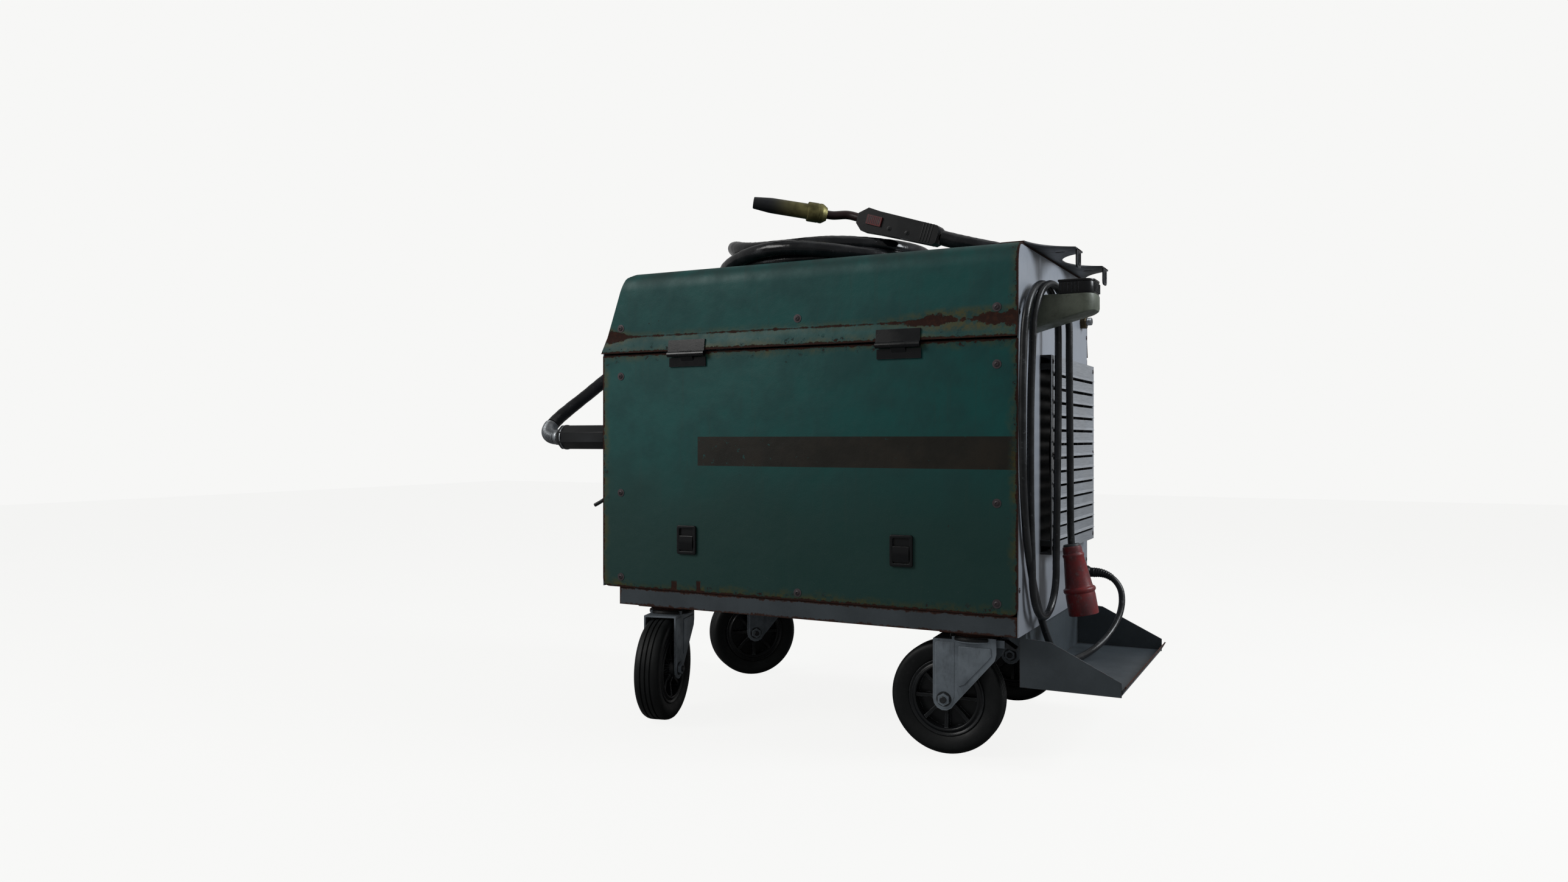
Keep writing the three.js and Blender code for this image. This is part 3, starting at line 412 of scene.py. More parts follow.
def green_paint(name, low, high, axes, stripe=False, lid=False):
    """Dark teal paint: darker and greyer low down as painted shade, rusty along its edges with a yellow halo,
    chipped, dusty and darkened as painted shade on top.
    """
    look = Look(name)
    large, middle, ragged = look.noise(3.2, 3), look.noise(14, 5), look.noise(70, 7, 0.7)
    height = look.stray(look.axis["z"], large, 0.25)
    colour = look.mix(look.ramp(middle, 0.35, 0.68), TEAL, TEAL_DEEP)
    # Painted shade: the paint darkens and greys towards the bottom, where less light falls.
    colour = look.mix(look.ramp(height, 0.60, 0.33), colour, TEAL_DIRT_AND_SHADE)
    streaks = look.noise(16, 4, 0.6, (6, 6, 0.35))
    colour = look.mix(look.times(look.ramp(streaks, 0.55, 0.8), 0.35), colour, (0.02, 0.05, 0.044))
    edge = look.edge_distance(low, high, axes)
    halo = look.times(look.ramp(look.stray(edge, middle, 0.045), 0.020, -0.004), 0.85)
    rust = look.ramp(look.stray(edge, ragged, 0.016), 0.0042, 0.0026)
    if stripe:
        colour = door_band(look, colour, middle)
        rust = look.most(rust, drips(look, ragged, ((-0.682, 0.0075, 0.277), (-0.626, 0.0055, 0.280))))
    if lid:
        # Dust on the lid's top curve, its tone darkened as painted shade on that upward-facing surface.
        dust_and_shade = look.times(look.ramp(look.axis["z"], 0.85, 0.884), look.ramp(middle, 0.2, 0.7))
        colour = look.mix(look.times(dust_and_shade, 0.75), colour, DUST_AND_SHADE)
        crease_rust, crease_halo = crease_wear(look, middle, ragged)
        rust, halo = look.most(rust, crease_rust), look.most(halo, crease_halo)
    colour = look.mix(halo, colour, look.mix(look.ramp(ragged, 0.4, 0.62), HALO, TEAL_DIRT_AND_SHADE))
    chips = look.times(look.ramp(look.noise(44, 8, 0.66), 0.695, 0.71),
                       look.ramp(look.noise(5, 2), 0.50, 0.62))
    near_edge = look.times(look.ramp(ragged, 0.60, 0.64), look.ramp(edge, 0.022, 0.004))
    rust = look.most(rust, chips, near_edge)
    colour = look.mix(rust, colour, look.mix(look.ramp(look.noise(130, 5), 0.48, 0.66), RUST, RUST_BRIGHT))
    specks = look.times(look.ramp(look.cells(260), 0.11, 0.06), look.ramp(look.noise(30, 2), 0.56, 0.64))
    colour = look.mix(look.times(specks, look.ramp(height, 0.5, 0.3), 0.7), colour, (0.14, 0.16, 0.15))
    relief = look.plus(look.times(look.noise(380, 3), 0.22), look.times(rust, -0.9))
    relief = look.plus(relief, look.plus(look.times(look.noise(7, 3), 4.0),
                                         look.times(look.noise(60, 4), 0.6)))
    rough = look.blend(rust, look.blend(look.ramp(middle, 0.3, 0.7), 0.40, 0.56), 0.86)
    return look.finish(colour, rough, 0.0, look.bump(relief, 0.45, 0.0012), specular=0.22)


def blue_grey_paint(name, low, high, axes, light=1.0):
    """Dark blue-grey paint with rust creeping up from its lower edges, scratches and pale specks."""
    look = Look(name)
    middle, ragged = look.noise(12, 5), look.noise(85, 7, 0.7)
    pale, dark = dimmed((0.066, 0.079, 0.090), light), dimmed((0.046, 0.056, 0.064), light)
    colour = look.mix(look.ramp(middle, 0.3, 0.7), pale, dark)
    scratch = look.ramp(look.noise(30, 9, 0.8, (0.3, 1, 3.2)), 0.63, 0.66)
    colour = look.mix(look.times(scratch, 0.30), colour, (0.10, 0.11, 0.12))
    edge = look.edge_distance(low, high, axes)
    rust = look.ramp(look.stray(edge, ragged, 0.018), 0.0050, 0.0018)
    corner = look.times(look.corners(0.0016), look.ramp(ragged, 0.42, 0.55))
    spots = look.times(look.ramp(look.noise(60, 8, 0.7), 0.69, 0.72), 0.9)
    rust = look.most(rust, corner, spots)
    rusty = look.mix(look.ramp(look.noise(150, 5), 0.45, 0.65), RUST, (0.045, 0.014, 0.007))
    colour = look.mix(rust, colour, rusty)
    specks = look.times(look.ramp(look.cells(210), 0.10, 0.05), look.ramp(look.noise(25, 2), 0.55, 0.62))
    colour = look.mix(look.times(specks, 0.6), colour, (0.16, 0.18, 0.19))
    relief = look.plus(look.times(look.noise(300, 3), 0.3), look.times(rust, -0.8))
    rough = look.blend(rust, look.blend(look.ramp(middle, 0.3, 0.7), 0.38, 0.52), 0.85)
    return look.finish(colour, rough, look.blend(rust, 0.25, 0.0), look.bump(relief, 0.35, 0.0008))


def brushed(name, tone, rough, metal):
    """Dull zinc-coated sheet, streaked along its grain, with darker blotches, painted shade darkening its
    lower part, and black painted as shade behind the louvre.
    """
    look = Look(name)
    streak, cloud = look.noise(22, 6, 0.65, (40, 40, 1.2)), look.noise(6, 5, 0.6)
    colour = look.mix(look.ramp(streak, 0.3, 0.75), tone, dimmed(tone, 0.82))
    colour = look.mix(look.times(look.ramp(cloud, 0.45, 0.75), 0.5), colour, dimmed(tone, 0.55))
    specks = look.ramp(look.noise(120, 8, 0.7), 0.70, 0.73)
    colour = look.mix(look.times(specks, 0.7), colour, (0.05, 0.035, 0.03))
    # Painted shade: the sheet darkens towards its lower part, where less light falls.
    height = look.stray(look.axis["z"], cloud, 0.2)
    colour = look.mix(look.times(look.ramp(height, 0.80, 0.22), 0.30), colour, dimmed(tone, 0.30))
    # Painted shade: the panel behind the louvre is painted black, where shade falls between it and the slats.
    behind = look.edge_distance(*SHADED_BEHIND_LOUVRE, "xyz")
    colour = look.mix(look.ramp(behind, 0.0, 0.0015), colour, (0.004, 0.004, 0.005))
    roughness = look.blend(look.ramp(cloud, 0.3, 0.7), rough, rough + 0.16)
    relief = look.plus(look.times(streak, 0.5), look.times(look.noise(9, 3), 1.6))
    return look.finish(colour, roughness, metal, look.bump(relief, 0.25, 0.0008))


def louvre_steel():
    """Bare ribbed sheet, brushed along the ribs; painted black as shade inside and on the side towards the
    door.
    """
    look = Look("louvre_steel")
    streak, cloud = look.noise(26, 6, 0.65, (1, 1, 26)), look.noise(9, 5, 0.6)
    colour = look.mix(look.ramp(streak, 0.3, 0.75), (0.36, 0.38, 0.41), (0.24, 0.26, 0.285))
    normal = look.add("ShaderNodeNewGeometry").outputs["Normal"]
    facing = look.add("ShaderNodeSeparateXYZ", {"Vector": normal}).outputs
    # Painted shade: faces turned towards the door on the near side, and faces turned back towards the panel,
    # are painted black as the shade in the louvre's gaps.
    black = look.times(look.ramp(facing[1], -0.5, -0.9), look.ramp(look.axis["y"], NEAR + 0.160,
                                                                   NEAR + 0.152))
    black = look.most(black, look.ramp(facing[0], -0.5, -0.9))
    colour = look.mix(black, colour, (0.0015, 0.0018, 0.0022))
    roughness = look.blend(black, look.blend(look.ramp(cloud, 0.3, 0.7), 0.30, 0.46), 0.7)
    return look.finish(colour, roughness, look.blend(black, 0.5, 0.0), look.bump(streak, 0.2, 0.0006))


def moulded(name, tone, rough, wear_and_highlight=0.5, grain=700, scuff_and_highlight=(0.09, 0.095, 0.10)):
    """Moulded plastic or enamel: fine grain, corners lightened by scuffs and a painted highlight, faint
    smears.
    """
    look = Look(name)
    smear = look.noise(18, 5, 0.65)
    colour = look.mix(look.ramp(smear, 0.35, 0.7), tone, dimmed(tone, 0.62))
    # Corners lightened: partly scuffs, partly a painted edge highlight.
    edge = look.times(look.corners(0.0012), look.ramp(look.noise(120, 6, 0.7), 0.38, 0.62), wear_and_highlight)
    colour = look.mix(edge, colour, scuff_and_highlight)
    roughness = look.blend(look.ramp(smear, 0.3, 0.7), rough, rough + 0.14)
    relief = look.plus(look.times(look.noise(grain, 3), 0.5), look.times(look.noise(45, 4), 0.5))
    return look.finish(colour, roughness, 0.0, look.bump(relief, 0.22, 0.0006), specular=0.26)


def grimy(name, cloud, tones, marks, rough, relief, grain=None, rubbed=None, metal=0.0, specular=0.30):
    """Two tones in clouds, a third in finer marks and, where rubbed gives (share, tone), one on the corners.
    cloud and marks are noise settings and the ramp that cuts them, marks with its share too."""
    look = Look(name)
    clouds, marking = look.noise(*cloud[0]), look.noise(*marks[0])
    colour = look.mix(look.ramp(clouds, *cloud[1]), tones[0], tones[1])
    colour = look.mix(look.times(look.ramp(marking, *marks[1]), marks[2]), colour, tones[2])
    if rubbed:
        colour = look.mix(look.times(look.corners(0.0015), rubbed[0]), colour, rubbed[1])
    roughness = look.blend(look.ramp(clouds, 0.3, 0.7), *rough)
    height = look.noise(*grain) if grain else marking
    return look.finish(colour, roughness, metal, look.bump(height, *relief), specular=specular)


def sleeve_skin():
    """The torch hose's glossy black sleeve, finely creased across."""
    look = Look("sleeve_skin")
    fine, broad = look.noise(90, 6, 0.6), look.noise(22, 4, 0.55)
    colour = look.mix(look.ramp(broad, 0.4, 0.7), (0.0060, 0.0066, 0.0080), (0.013, 0.014, 0.016))
    colour = look.mix(look.times(look.ramp(fine, 0.60, 0.72), 0.5), colour, (0.045, 0.048, 0.052))
    rough = look.blend(look.ramp(broad, 0.35, 0.65), 0.13, 0.28)
    relief = look.plus(look.times(broad, 1.6), look.times(fine, 0.35))
    return look.finish(colour, rough, 0.0, look.bump(relief, 0.5, 0.0016))


def tarnished(name, tone, rough=0.42, soot=None):
    """Brass under grime; soot is (tip, direction, length), black at the tip."""
    look = Look(name)
    cloud, fine = look.noise(40, 6, 0.65), look.noise(190, 5, 0.6)
    colour = look.mix(look.ramp(cloud, 0.35, 0.7), tone, dimmed(tone, 0.42))
    roughness = look.blend(look.ramp(fine, 0.3, 0.7), rough, rough + 0.2)
    metal = 0.75
    if soot is not None:
        tip, way, length = soot
        offset = look.add("ShaderNodeVectorMath", {0: look.where, 1: tip}, operation="SUBTRACT").outputs[0]
        run = look.add("ShaderNodeVectorMath", {0: offset, 1: way}, operation="DOT_PRODUCT").outputs["Value"]
        black = look.ramp(look.stray(run, cloud, 0.02), length, length * 0.25)
        colour = look.mix(black, colour, (0.009, 0.010, 0.012))
        metal = look.blend(black, metal, 0.1)
    return look.finish(colour, roughness, metal, look.bump(fine, 0.3, 0.0005))


def wound_wire():
    """Copper-coated wire wound on its spool: fine ridges along Y."""
    look = Look("wound_wire")
    wave = look.add("ShaderNodeTexWave", {"Vector": look.where, "Scale": 190.0, "Distortion": 0.6},
                    bands_direction="Y").outputs["Fac"]
    colour = look.mix(wave, (0.20, 0.085, 0.045), (0.55, 0.27, 0.15))
    return look.finish(colour, 0.34, 0.9, look.bump(wave, 0.6, 0.0008))


def plain_look(name, tone, rough, metal=0.0):
    """A small part's finish: its colour broken up by fine noise."""
    look = Look(name)
    cloud = look.noise(60, 6, 0.65)
    colour = look.mix(look.ramp(cloud, 0.3, 0.7), tone, dimmed(tone, 0.6))
    return look.finish(colour, look.blend(cloud, rough, rough + 0.15), metal, look.bump(cloud, 0.2, 0.0005))


BLACK = moulded("black_plastic", (0.0045, 0.0052, 0.0064), 0.30)
GLOSS_BLACK = moulded("black_enamel", (0.0045, 0.0050, 0.0062), 0.16, 0.45, 500, (0.075, 0.078, 0.085))
RIM_BLACK = moulded("rim_plastic", (0.0085, 0.0095, 0.0110), 0.24, 0.8, 900, (0.16, 0.17, 0.18))
ZINC = grimy(
    "dark_zinc", ((16, 6, 0.65), (0.3, 0.72)), ((0.215, 0.250, 0.285), (0.115, 0.135, 0.155),
                                                (0.070, 0.080, 0.088)),
    ((140, 6, 0.7, (1, 1, 0.3)), (0.5, 0.75), 0.5), (0.38, 0.56), (0.25, 0.0006),
    rubbed=(0.6, (0.32, 0.35, 0.38)),
    metal=0.45)
TYRE = grimy(
    "tyre_rubber", ((20, 6, 0.65), (0.40, 0.70)), ((0.0030, 0.0038, 0.0042), (0.0065, 0.0075, 0.0080),
                                                   (0.022, 0.024, 0.023)),
    ((160, 6, 0.75), (0.56, 0.68), 0.25), (0.42, 0.62), (0.25, 0.0006), grain=(420, 4), specular=0.24)
SLEEVE = sleeve_skin()
CABLE = grimy(
    "cable_skin", ((30, 5, 0.6), (0.4, 0.7)), ((0.0075, 0.0082, 0.0092), (0.015, 0.016, 0.018),
                                               (0.06, 0.065, 0.07)),
    ((75, 7, 0.7), (0.60, 0.66), 0.55), (0.26, 0.42), (0.25, 0.0007), grain=(260, 4))
RED = grimy(
    "red_plastic", ((30, 6, 0.7), (0.32, 0.66)), ((0.165, 0.0150, 0.0160), (0.080, 0.0210, 0.0240),
                                                  (0.105, 0.092, 0.096)),
    ((110, 5, 0.65), (0.52, 0.72), 0.55), (0.34, 0.50), (0.3, 0.0008), rubbed=(0.5, (0.13, 0.10, 0.10)))
HOOK_LOOK = grimy(
    "hook_plastic", ((26, 6, 0.65), (0.32, 0.70)), ((0.112, 0.128, 0.100), (0.060, 0.069, 0.052),
                                                    (0.025, 0.026, 0.018)),
    ((120, 5, 0.65), (0.55, 0.75), 0.4), (0.42, 0.60), (0.3, 0.0008))
BRASS = tarnished("brass", (0.24, 0.17, 0.065))
SCREW = plain_look("screw_steel", (0.085, 0.072, 0.078), 0.42, 0.6)
SPRING = plain_look("spring_steel", (0.33, 0.35, 0.37), 0.30, 0.95)
BRIGHT = plain_look("bright_steel", (0.42, 0.44, 0.46), 0.28, 0.95)
PANEL = brushed("panel_steel", (0.36, 0.39, 0.44), 0.34, 0.40)
LOUVRE = louvre_steel()
IRON = plain_look("laminated_iron", (0.06, 0.055, 0.052), 0.55, 0.5)
COPPER = plain_look("copper", (0.40, 0.17, 0.09), 0.35, 0.9)
GREY_NUT = moulded("grey_plastic", (0.045, 0.048, 0.052), 0.4)
TARNISHED = tarnished("old_brass", (0.060, 0.045, 0.022), 0.38)
WHITE = plain_look("dial_white", (0.62, 0.61, 0.56), 0.45)
DARK_STEEL = plain_look("dark_steel", (0.055, 0.058, 0.062), 0.36, 0.8)
NECK = moulded("neck_black", (0.022, 0.0115, 0.0115), 0.30, 0.6, 500, (0.05, 0.032, 0.028))
CAST = plain_look("cast_aluminium", (0.40, 0.41, 0.42), 0.42, 0.85)

# ---- cords ----
HOSE_D, HOSE_LENGTH = 0.028, 5.36
CABLE_D, MAINS_LENGTH = 0.0125, 2.99
HOSE_UP = [
    (-1.081, 0.1178, 0.5854), (-1.0806, 0.128, 0.593), (-1.0765, 0.145, 0.6065), (-1.066, 0.167, 0.6255),
    (-1.044, 0.204, 0.659), (-1, 0.268, 0.722), (-0.946, 0.335, 0.795), (-0.886, 0.398, 0.862),
    (-0.82, 0.445, 0.903), (-0.74, 0.474, 0.908), (-0.65, 0.485, 0.9004), (-0.56, 0.484, 0.9004),
]


def hose_turn(x=-0.176, y=0.272, radius=0.112, low=0.9004, climb=0.0056):
    """The hose's turn at the rear of the lid, which ends climbing towards the handle."""
    points = []
    for i in (2, 1, 0, -1, -2):
        angle = math.pi * i / 9
        rise = climb * (max(0, -i) / 2) ** 1.5
        points.append((x + radius * math.cos(angle), y + radius * math.sin(angle), low + rise))
    return points


HOSE_DOWN = [
    (-0.385, 0.465, 0.949), (-0.325, 0.452, 0.9435), (-0.265, 0.434, 0.931), (-0.212, 0.415, 0.918),
    (-0.165, 0.393, 0.9075), (-0.12, 0.369, 0.9015),
    *hose_turn(),
    (-0.12, 0.175, 0.9115), (-0.154, 0.1623, 0.92), (-0.187, 0.16, 0.9304),
]
COIL_X, COIL_Y, COIL_R = -0.47, 0.269, 0.214
COIL_TURNS = 3
STRAND = HOSE_D * 1.02  # from one strand's middle to the next one's
LIE = LID_TOP + HOSE_D / 2 + 0.0005  # the height of a strand's middle on the lid


def coil_points():
    """The hose on the lid, clockwise from above from the far side. Each strand lies outside, inside or on top
    of the others, and changes places on the far side; the strands are stacked at the front end."""
    points = []
    last = 360 * COIL_TURNS + 12
    for turned in range(8, last, 12):
        role = ease(turned, 350, 385) + ease(turned, 675, 710) + ease(turned, 1005, 1035)
        around = turned % 360
        stack = math.exp(-(((around - 262) / 34) ** 2))
        hump = math.exp(-(((around - 185) / 38) ** 2))
        outer = Vector((COIL_R - 0.005 * hump + 0.006 * stack, LIE + 0.020 * hump))
        lift = math.radians(76 * stack)
        inner = Vector((COIL_R - STRAND * math.cos(lift), LIE + STRAND * math.sin(lift)))
        lean = math.radians(60 + 45 * hump + 32 * stack)
        top = inner + STRAND * Vector((math.cos(lean), math.sin(lean)))
        above = top + Vector((0, STRAND))
        places = [outer, inner, top, above]
        low = min(int(role), 2)
        share = role - low
        radius, height = places[low].lerp(places[low + 1], share)
        if low == 1 and 0 < share < 1:
            swing = math.radians(60 * share)
            radius = COIL_R - STRAND * math.cos(swing)
            height = LIE + STRAND * math.sin(swing)
        angle = math.radians(90 - turned)
        points.append((COIL_X + radius * math.cos(angle), COIL_Y + radius * math.sin(angle), height))
    return points


def wrinkles(run, angle):
    """The sleeve's radius: soft creases across it and a slightly uneven section."""
    across = Vector((run / 0.016, 1.3 * math.cos(angle), 1.3 * math.sin(angle)))
    crease = 1 - 2 * abs(noise.noise(across))
    swell = noise.noise(Vector((run / 0.07, 3 + math.cos(angle), math.sin(angle))))
    return HOSE_D / 2 * (0.985 + 0.040 * crease * abs(crease) + 0.035 * swell)


def torch_hose():
    route = [place(*p) for p in [*HOSE_UP, *coil_points(), *HOSE_DOWN]]
    path = smooth_path(route, 0.0045)
    hose = piece("torch_hose", Shape().tube(path, wrinkles, 22), SLEEVE, "cabinet",
                 ["hose_up", "hose_coil", "hose_down"], smooth=80)


def arch_points(y, top, reach, drop, x):
    """A loop over the hook; reach and drop are those of its near and its far side from the crown."""
    points = []
    for i in range(-5, 6):
        side = 0 if i < 0 else 1
        angle = math.pi * i / 10
        along = x[0] + (x[1] - x[0]) * (i + 5) / 10
        up = top - drop[side] * (1 - math.cos(angle))
        points.append((along, y + reach[side] * math.sin(angle), up))
    return points


def loop_points(y, z, radius, x):
    """The loop that hangs low behind the cabinet."""
    points = []
    for i in range(7):
        angle = math.pi * i / 6
        along = x[0] + (x[1] - x[0]) * i / 6
        points.append((along, y + radius * math.cos(angle), z - radius * math.sin(angle)))
    return points


MAINS = [
    (0.0302, 0.47, 0.281), (0.042, 0.47, 0.2807), (0.057, 0.47, 0.2765), (0.072, 0.4695, 0.266),
    (0.0825, 0.467, 0.25), (0.0865, 0.461, 0.23), (0.0855, 0.449, 0.208), (0.0795, 0.429, 0.186),
    (0.069, 0.401, 0.165), (0.0565, 0.369, 0.15), (0.045, 0.337, 0.1415), (0.0365, 0.304, 0.1387),
    (0.031, 0.272, 0.1384), (0.027, 0.232, 0.14), (0.024, 0.19, 0.153), (0.021, 0.148, 0.181),
    (0.016, 0.104, 0.23), (0.012, 0.06, 0.296), (0.0095, 0.025, 0.372), (0.0085, 0.006, 0.45),
    (0.0085, -0.003, 0.54), (0.0085, -0.0035, 0.64), (0.009, -0.001, 0.69),
    *arch_points(0.0995, 0.822, (0.0975, 0.062), (0.085, 0.062), (0.010, 0.028)),
    (0.029, 0.1605, 0.69), (0.0295, 0.158, 0.6), (0.029, 0.155, 0.5), (0.0282, 0.153, 0.4),
    (0.0275, 0.1523, 0.34),
    *loop_points(0.095, 0.302, 0.057, (0.027, 0.015)),
    (0.014, 0.037, 0.345), (0.0125, 0.035, 0.42), (0.012, 0.034, 0.54), (0.013, 0.034, 0.64),
    (0.015, 0.0345, 0.7),
    *arch_points(0.103, 0.822, (0.068, 0.062), (0.068, 0.062), (0.017, 0.0465)),
    (0.0473, 0.1655, 0.69), (0.0475, 0.1685, 0.6), (0.0475, 0.173, 0.49), (0.0469, 0.1775, 0.42),
    (0.0469, 0.1798, 0.39), (0.0481, 0.1806, 0.363),
]
PLUG_TOP, PLUG_LOW = place(0.0485, 0.1806, 0.361), place(0.07, 0.182, 0.24)


def mains_plug():
    """An industrial round plug: grip, cable gland, locking ring, side latch, shroud and five pins."""
    way = (PLUG_LOW - PLUG_TOP).normalized()
    long = (PLUG_LOW - PLUG_TOP).length
    seat = turn_to(PLUG_TOP, way)
    body = Shape().lathe([
        (0.0150, 0.0), (0.0166, 0.001), (0.0172, 0.006), (0.0172, 0.0125), (0.0186, 0.0140),
        (0.0192, 0.0165),
        (0.0186, 0.0190), (0.0180, 0.0205), (0.0238, 0.0700), (0.0246, 0.0732), (0.0276, 0.0752),
        (0.0284, 0.0772), (0.0284, 0.0800), (0.0270, 0.0822), (0.0256, 0.0838), (0.0262, 0.0880),
        (0.0264, long - 0.0025), (0.0256, long), (0.0226, long), (0.0220, long - 0.003),
        (0.0214, long - 0.03),
        (0.0, long - 0.03),
    ], seat, 48)
    side = way.cross(way.cross(-Y)).normalized()
    frame_of_latch = basis(PLUG_TOP + way * 0.034, way, side)
    body.block((0, 0.012, -0.0065), (0.030, 0.0268, 0.0065), frame_of_latch)
    body.block((0.003, 0.024, -0.0045), (0.018, 0.0296, 0.0045), frame_of_latch)
    red = piece("mains_plug_body", body, RED, "cabinet", ["mains_plug"], bevel=0.0007)
    pins = Shape()
    for i in range(5):
        angle = math.radians(72 * i + 18)
        foot = seat @ Vector((0.013 * math.cos(angle), 0.013 * math.sin(angle), long - 0.032))
        pins.lathe([(0.0028, 0), (0.0028, 0.024), (0.0020, 0.026), (0, 0.026)], turn_to(foot, way), 14)
    pins_piece = piece("mains_plug_pins", pins, BRASS, "cabinet")
    nut = Shape().lathe([(0.0085, -0.004), (0.0140, -0.004), (0.0150, -0.002), (0.0152, 0.011),
                         (0.0146, 0.012),
                         (0.0085, 0.012)], seat, 12, closed=True)
    nut_piece = piece("mains_plug_nut", nut, GREY_NUT, "cabinet", bevel=0.0006)
    return [red, pins_piece, nut_piece]


def strain_relief(path):
    """A ribbed rubber sleeve that tapers along the cable's first stretch."""
    long = 0.036

    def radius(run, angle):
        rib = 0.0007 * math.cos(2 * math.pi * run / 0.0045)
        return CABLE_D / 2 + 0.0004 + 0.0030 * (1 - run / long) + max(rib, -0.0002)

    count = next(i for i, p in enumerate(path) if (p - path[0]).length > long)
    fine = smooth_path(path[:count], 0.0009)
    return piece("mains_strain_relief", Shape().tube(fine, radius, 20), BLACK, "cabinet",
                 smooth=60)


def mains_cable():
    path = smooth_path([place(*p) for p in MAINS], 0.005)
    cable = piece("mains_cord", Shape().tube(path, CABLE_D / 2, 14), CABLE, "cabinet",
                  ["mains_cable"], smooth=80)
    on_it = [strain_relief(path), *mains_plug()]


torch_hose()
mains_cable()

# ---- finishes that follow one panel's edges ----
LID_PAINT = green_paint("lid_paint", place(-0.9, -0.006, LID_LOW), place(0, WIDTH + 0.006, 1.2), "xz",
                        lid=True)
PANEL_LOW, PANEL_HIGH = place(-LENGTH, 0, DOOR_LOW), place(0, WIDTH, DOOR_HIGH)
DOOR_PAINT = green_paint("door_paint", PANEL_LOW, PANEL_HIGH, "xz", stripe=True)
SIDE_PAINT = green_paint("side_paint", PANEL_LOW, PANEL_HIGH, "xz")
RAIL_LOW, RAIL_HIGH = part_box("base_frame")
RAIL_PAINT = blue_grey_paint("rail_paint", Vector((RAIL_LOW.x, RAIL_LOW.y, 0.2205)), RAIL_HIGH, "xz")
TRAY_LOW, TRAY_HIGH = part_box("gas_tray")
TRAY_PAINT = blue_grey_paint("tray_paint", TRAY_LOW - X, TRAY_HIGH + Z, "x")
BRACKET_LOW, BRACKET_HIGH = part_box("bottle_bracket")
BRACKET_PAINT = blue_grey_paint("bracket_paint", BRACKET_LOW - Z, BRACKET_HIGH + Z, "y", 0.4)


# ---- cabinet ----
def lid_side():
    """Half of the lid's section, (in from the side, height), from its lower edge to the top."""
    side = [(-0.006, LID_LOW), (-0.0052, LID_LOW + 0.005), (-0.0012, LID_CREASE - 0.006),
            (-0.0002, LID_CREASE - 0.002),
            (0, LID_CREASE + 0.003)]
    side += [(0, LID_CREASE + 0.01 + 0.0783 * i / 4) for i in range(5)]
    for i in range(1, 13):
        angle = math.pi / 2 * i / 12
        side.append((0.0246 * (1 - math.cos(angle)), LID_TOP - 0.038 + 0.038 * math.sin(angle)))
    return side


def lid_front(z):
    """Where the lid's front edge is at a height."""
    slope = -LENGTH + (LID_FRONT + LENGTH) * (z - LID_LOW) / (LID_TOP - LID_LOW)
    return slope + 0.014 * ease(z, LID_TOP - 0.010, LID_TOP)


def lid_ring(share, inset):
    half = lid_side()
    ring = []
    for i, (y, z) in enumerate(half):
        a, b = half[max(i - 1, 0)], half[min(i + 1, len(half) - 1)]
        way = Vector((b[0] - a[0], b[1] - a[1])).normalized()
        if i == len(half) - 1:
            way = Vector((1, 0))
        ring.append((y + inset * way.y, z - inset * way.x))
    low = ring[0]
    ring[0] = (low[0], LID_LOW)
    both = ring + [(WIDTH - y, z) for y, z in reversed(ring)]
    return [place(lid_front(min(z, LID_TOP)) * (1 - share), y, z) for y, z in both]


def make_lid():
    steps = 24
    shape = Shape()
    rings = []
    for i in range(steps + 1):
        outer, inner = lid_ring(i / steps, 0), lid_ring(i / steps, 0.002)
        rings.append(outer + inner[::-1])
    made = [[shape.bm.verts.new(p) for p in ring] for ring in rings]
    count = len(made[0])
    for a, b in zip(made, made[1:]):
        for i in range(count):
            j = (i + 1) % count
            shape.bm.faces.new((a[i], a[j], b[j], b[i]))
    half = count // 2
    for ring in (made[0], made[-1]):
        for i in range(half - 1):
            shape.bm.faces.new((ring[i], ring[i + 1], ring[count - 2 - i], ring[count - 1 - i]))
    piece("lid", shape, LID_PAINT, "cabinet", ["top_cover"], smooth=32)


def panel_shape(outside, inward):
    """A sheet with rounded lower corners, its folded rim and two pressed stiffeners behind it."""
    r = 0.016
    x0, x1, z0, z1 = -LENGTH, 0.0, DOOR_LOW, DOOR_HIGH
    outline = arc(x1 - r, z0 + r, r, -90, 0, 8) + [(x1, z1 - 0.002), (x1 - 0.002, z1), (x0 + 0.002, z1),
                                                  (x0, z1 - 0.002)] + arc(x0 + r, z0 + r, r, 180, 270, 8)
    shape = Shape()
    skin_at = outside + 0.002 if inward > 0 else outside
    shape.plate([outline], 0.002, basis(place(0, skin_at, 0), X, Z), 0.0007)
    rim, hollow = ([(x0 + 0.006 + t, z0 + 0.004 + t), (x1 - 0.006 - t, z0 + 0.004 + t),
                    (x1 - 0.006 - t, z1 - 0.003 - t), (x0 + 0.006 + t, z1 - 0.003 - t)] for t in (0, 0.002))
    rim_at = outside + 0.014 if inward > 0 else outside - 0.0015
    shape.plate([rim, hollow], 0.0125, basis(place(0, rim_at, 0), X, Z))
    for x in (-0.60, -0.30):
        hat = [(-0.024, 0), (-0.016, 0), (-0.011, 0.0065), (0.011, 0.0065), (0.016, 0), (0.024, 0)]
        hat += [(0.024, 0.0008), (0.0165, 0.0008), (0.0115, 0.0073), (-0.0115, 0.0073), (-0.0165, 0.0008),
                (-0.024, 0.0008)]
        foot = place(x, outside + inward * 0.0022, z0 + 0.03)
        shape.prism([(a, inward * b) for a, b in hat], z1 - z0 - 0.06, basis(foot, X, Y))
    return shape


make_lid()
piece("door_skin", panel_shape(0, 1), DOOR_PAINT, "door", ["side_door"], smooth=30)
piece("far_panel_skin", panel_shape(WIDTH, -1), SIDE_PAINT, "cabinet", ["side_panel"],
      smooth=30)


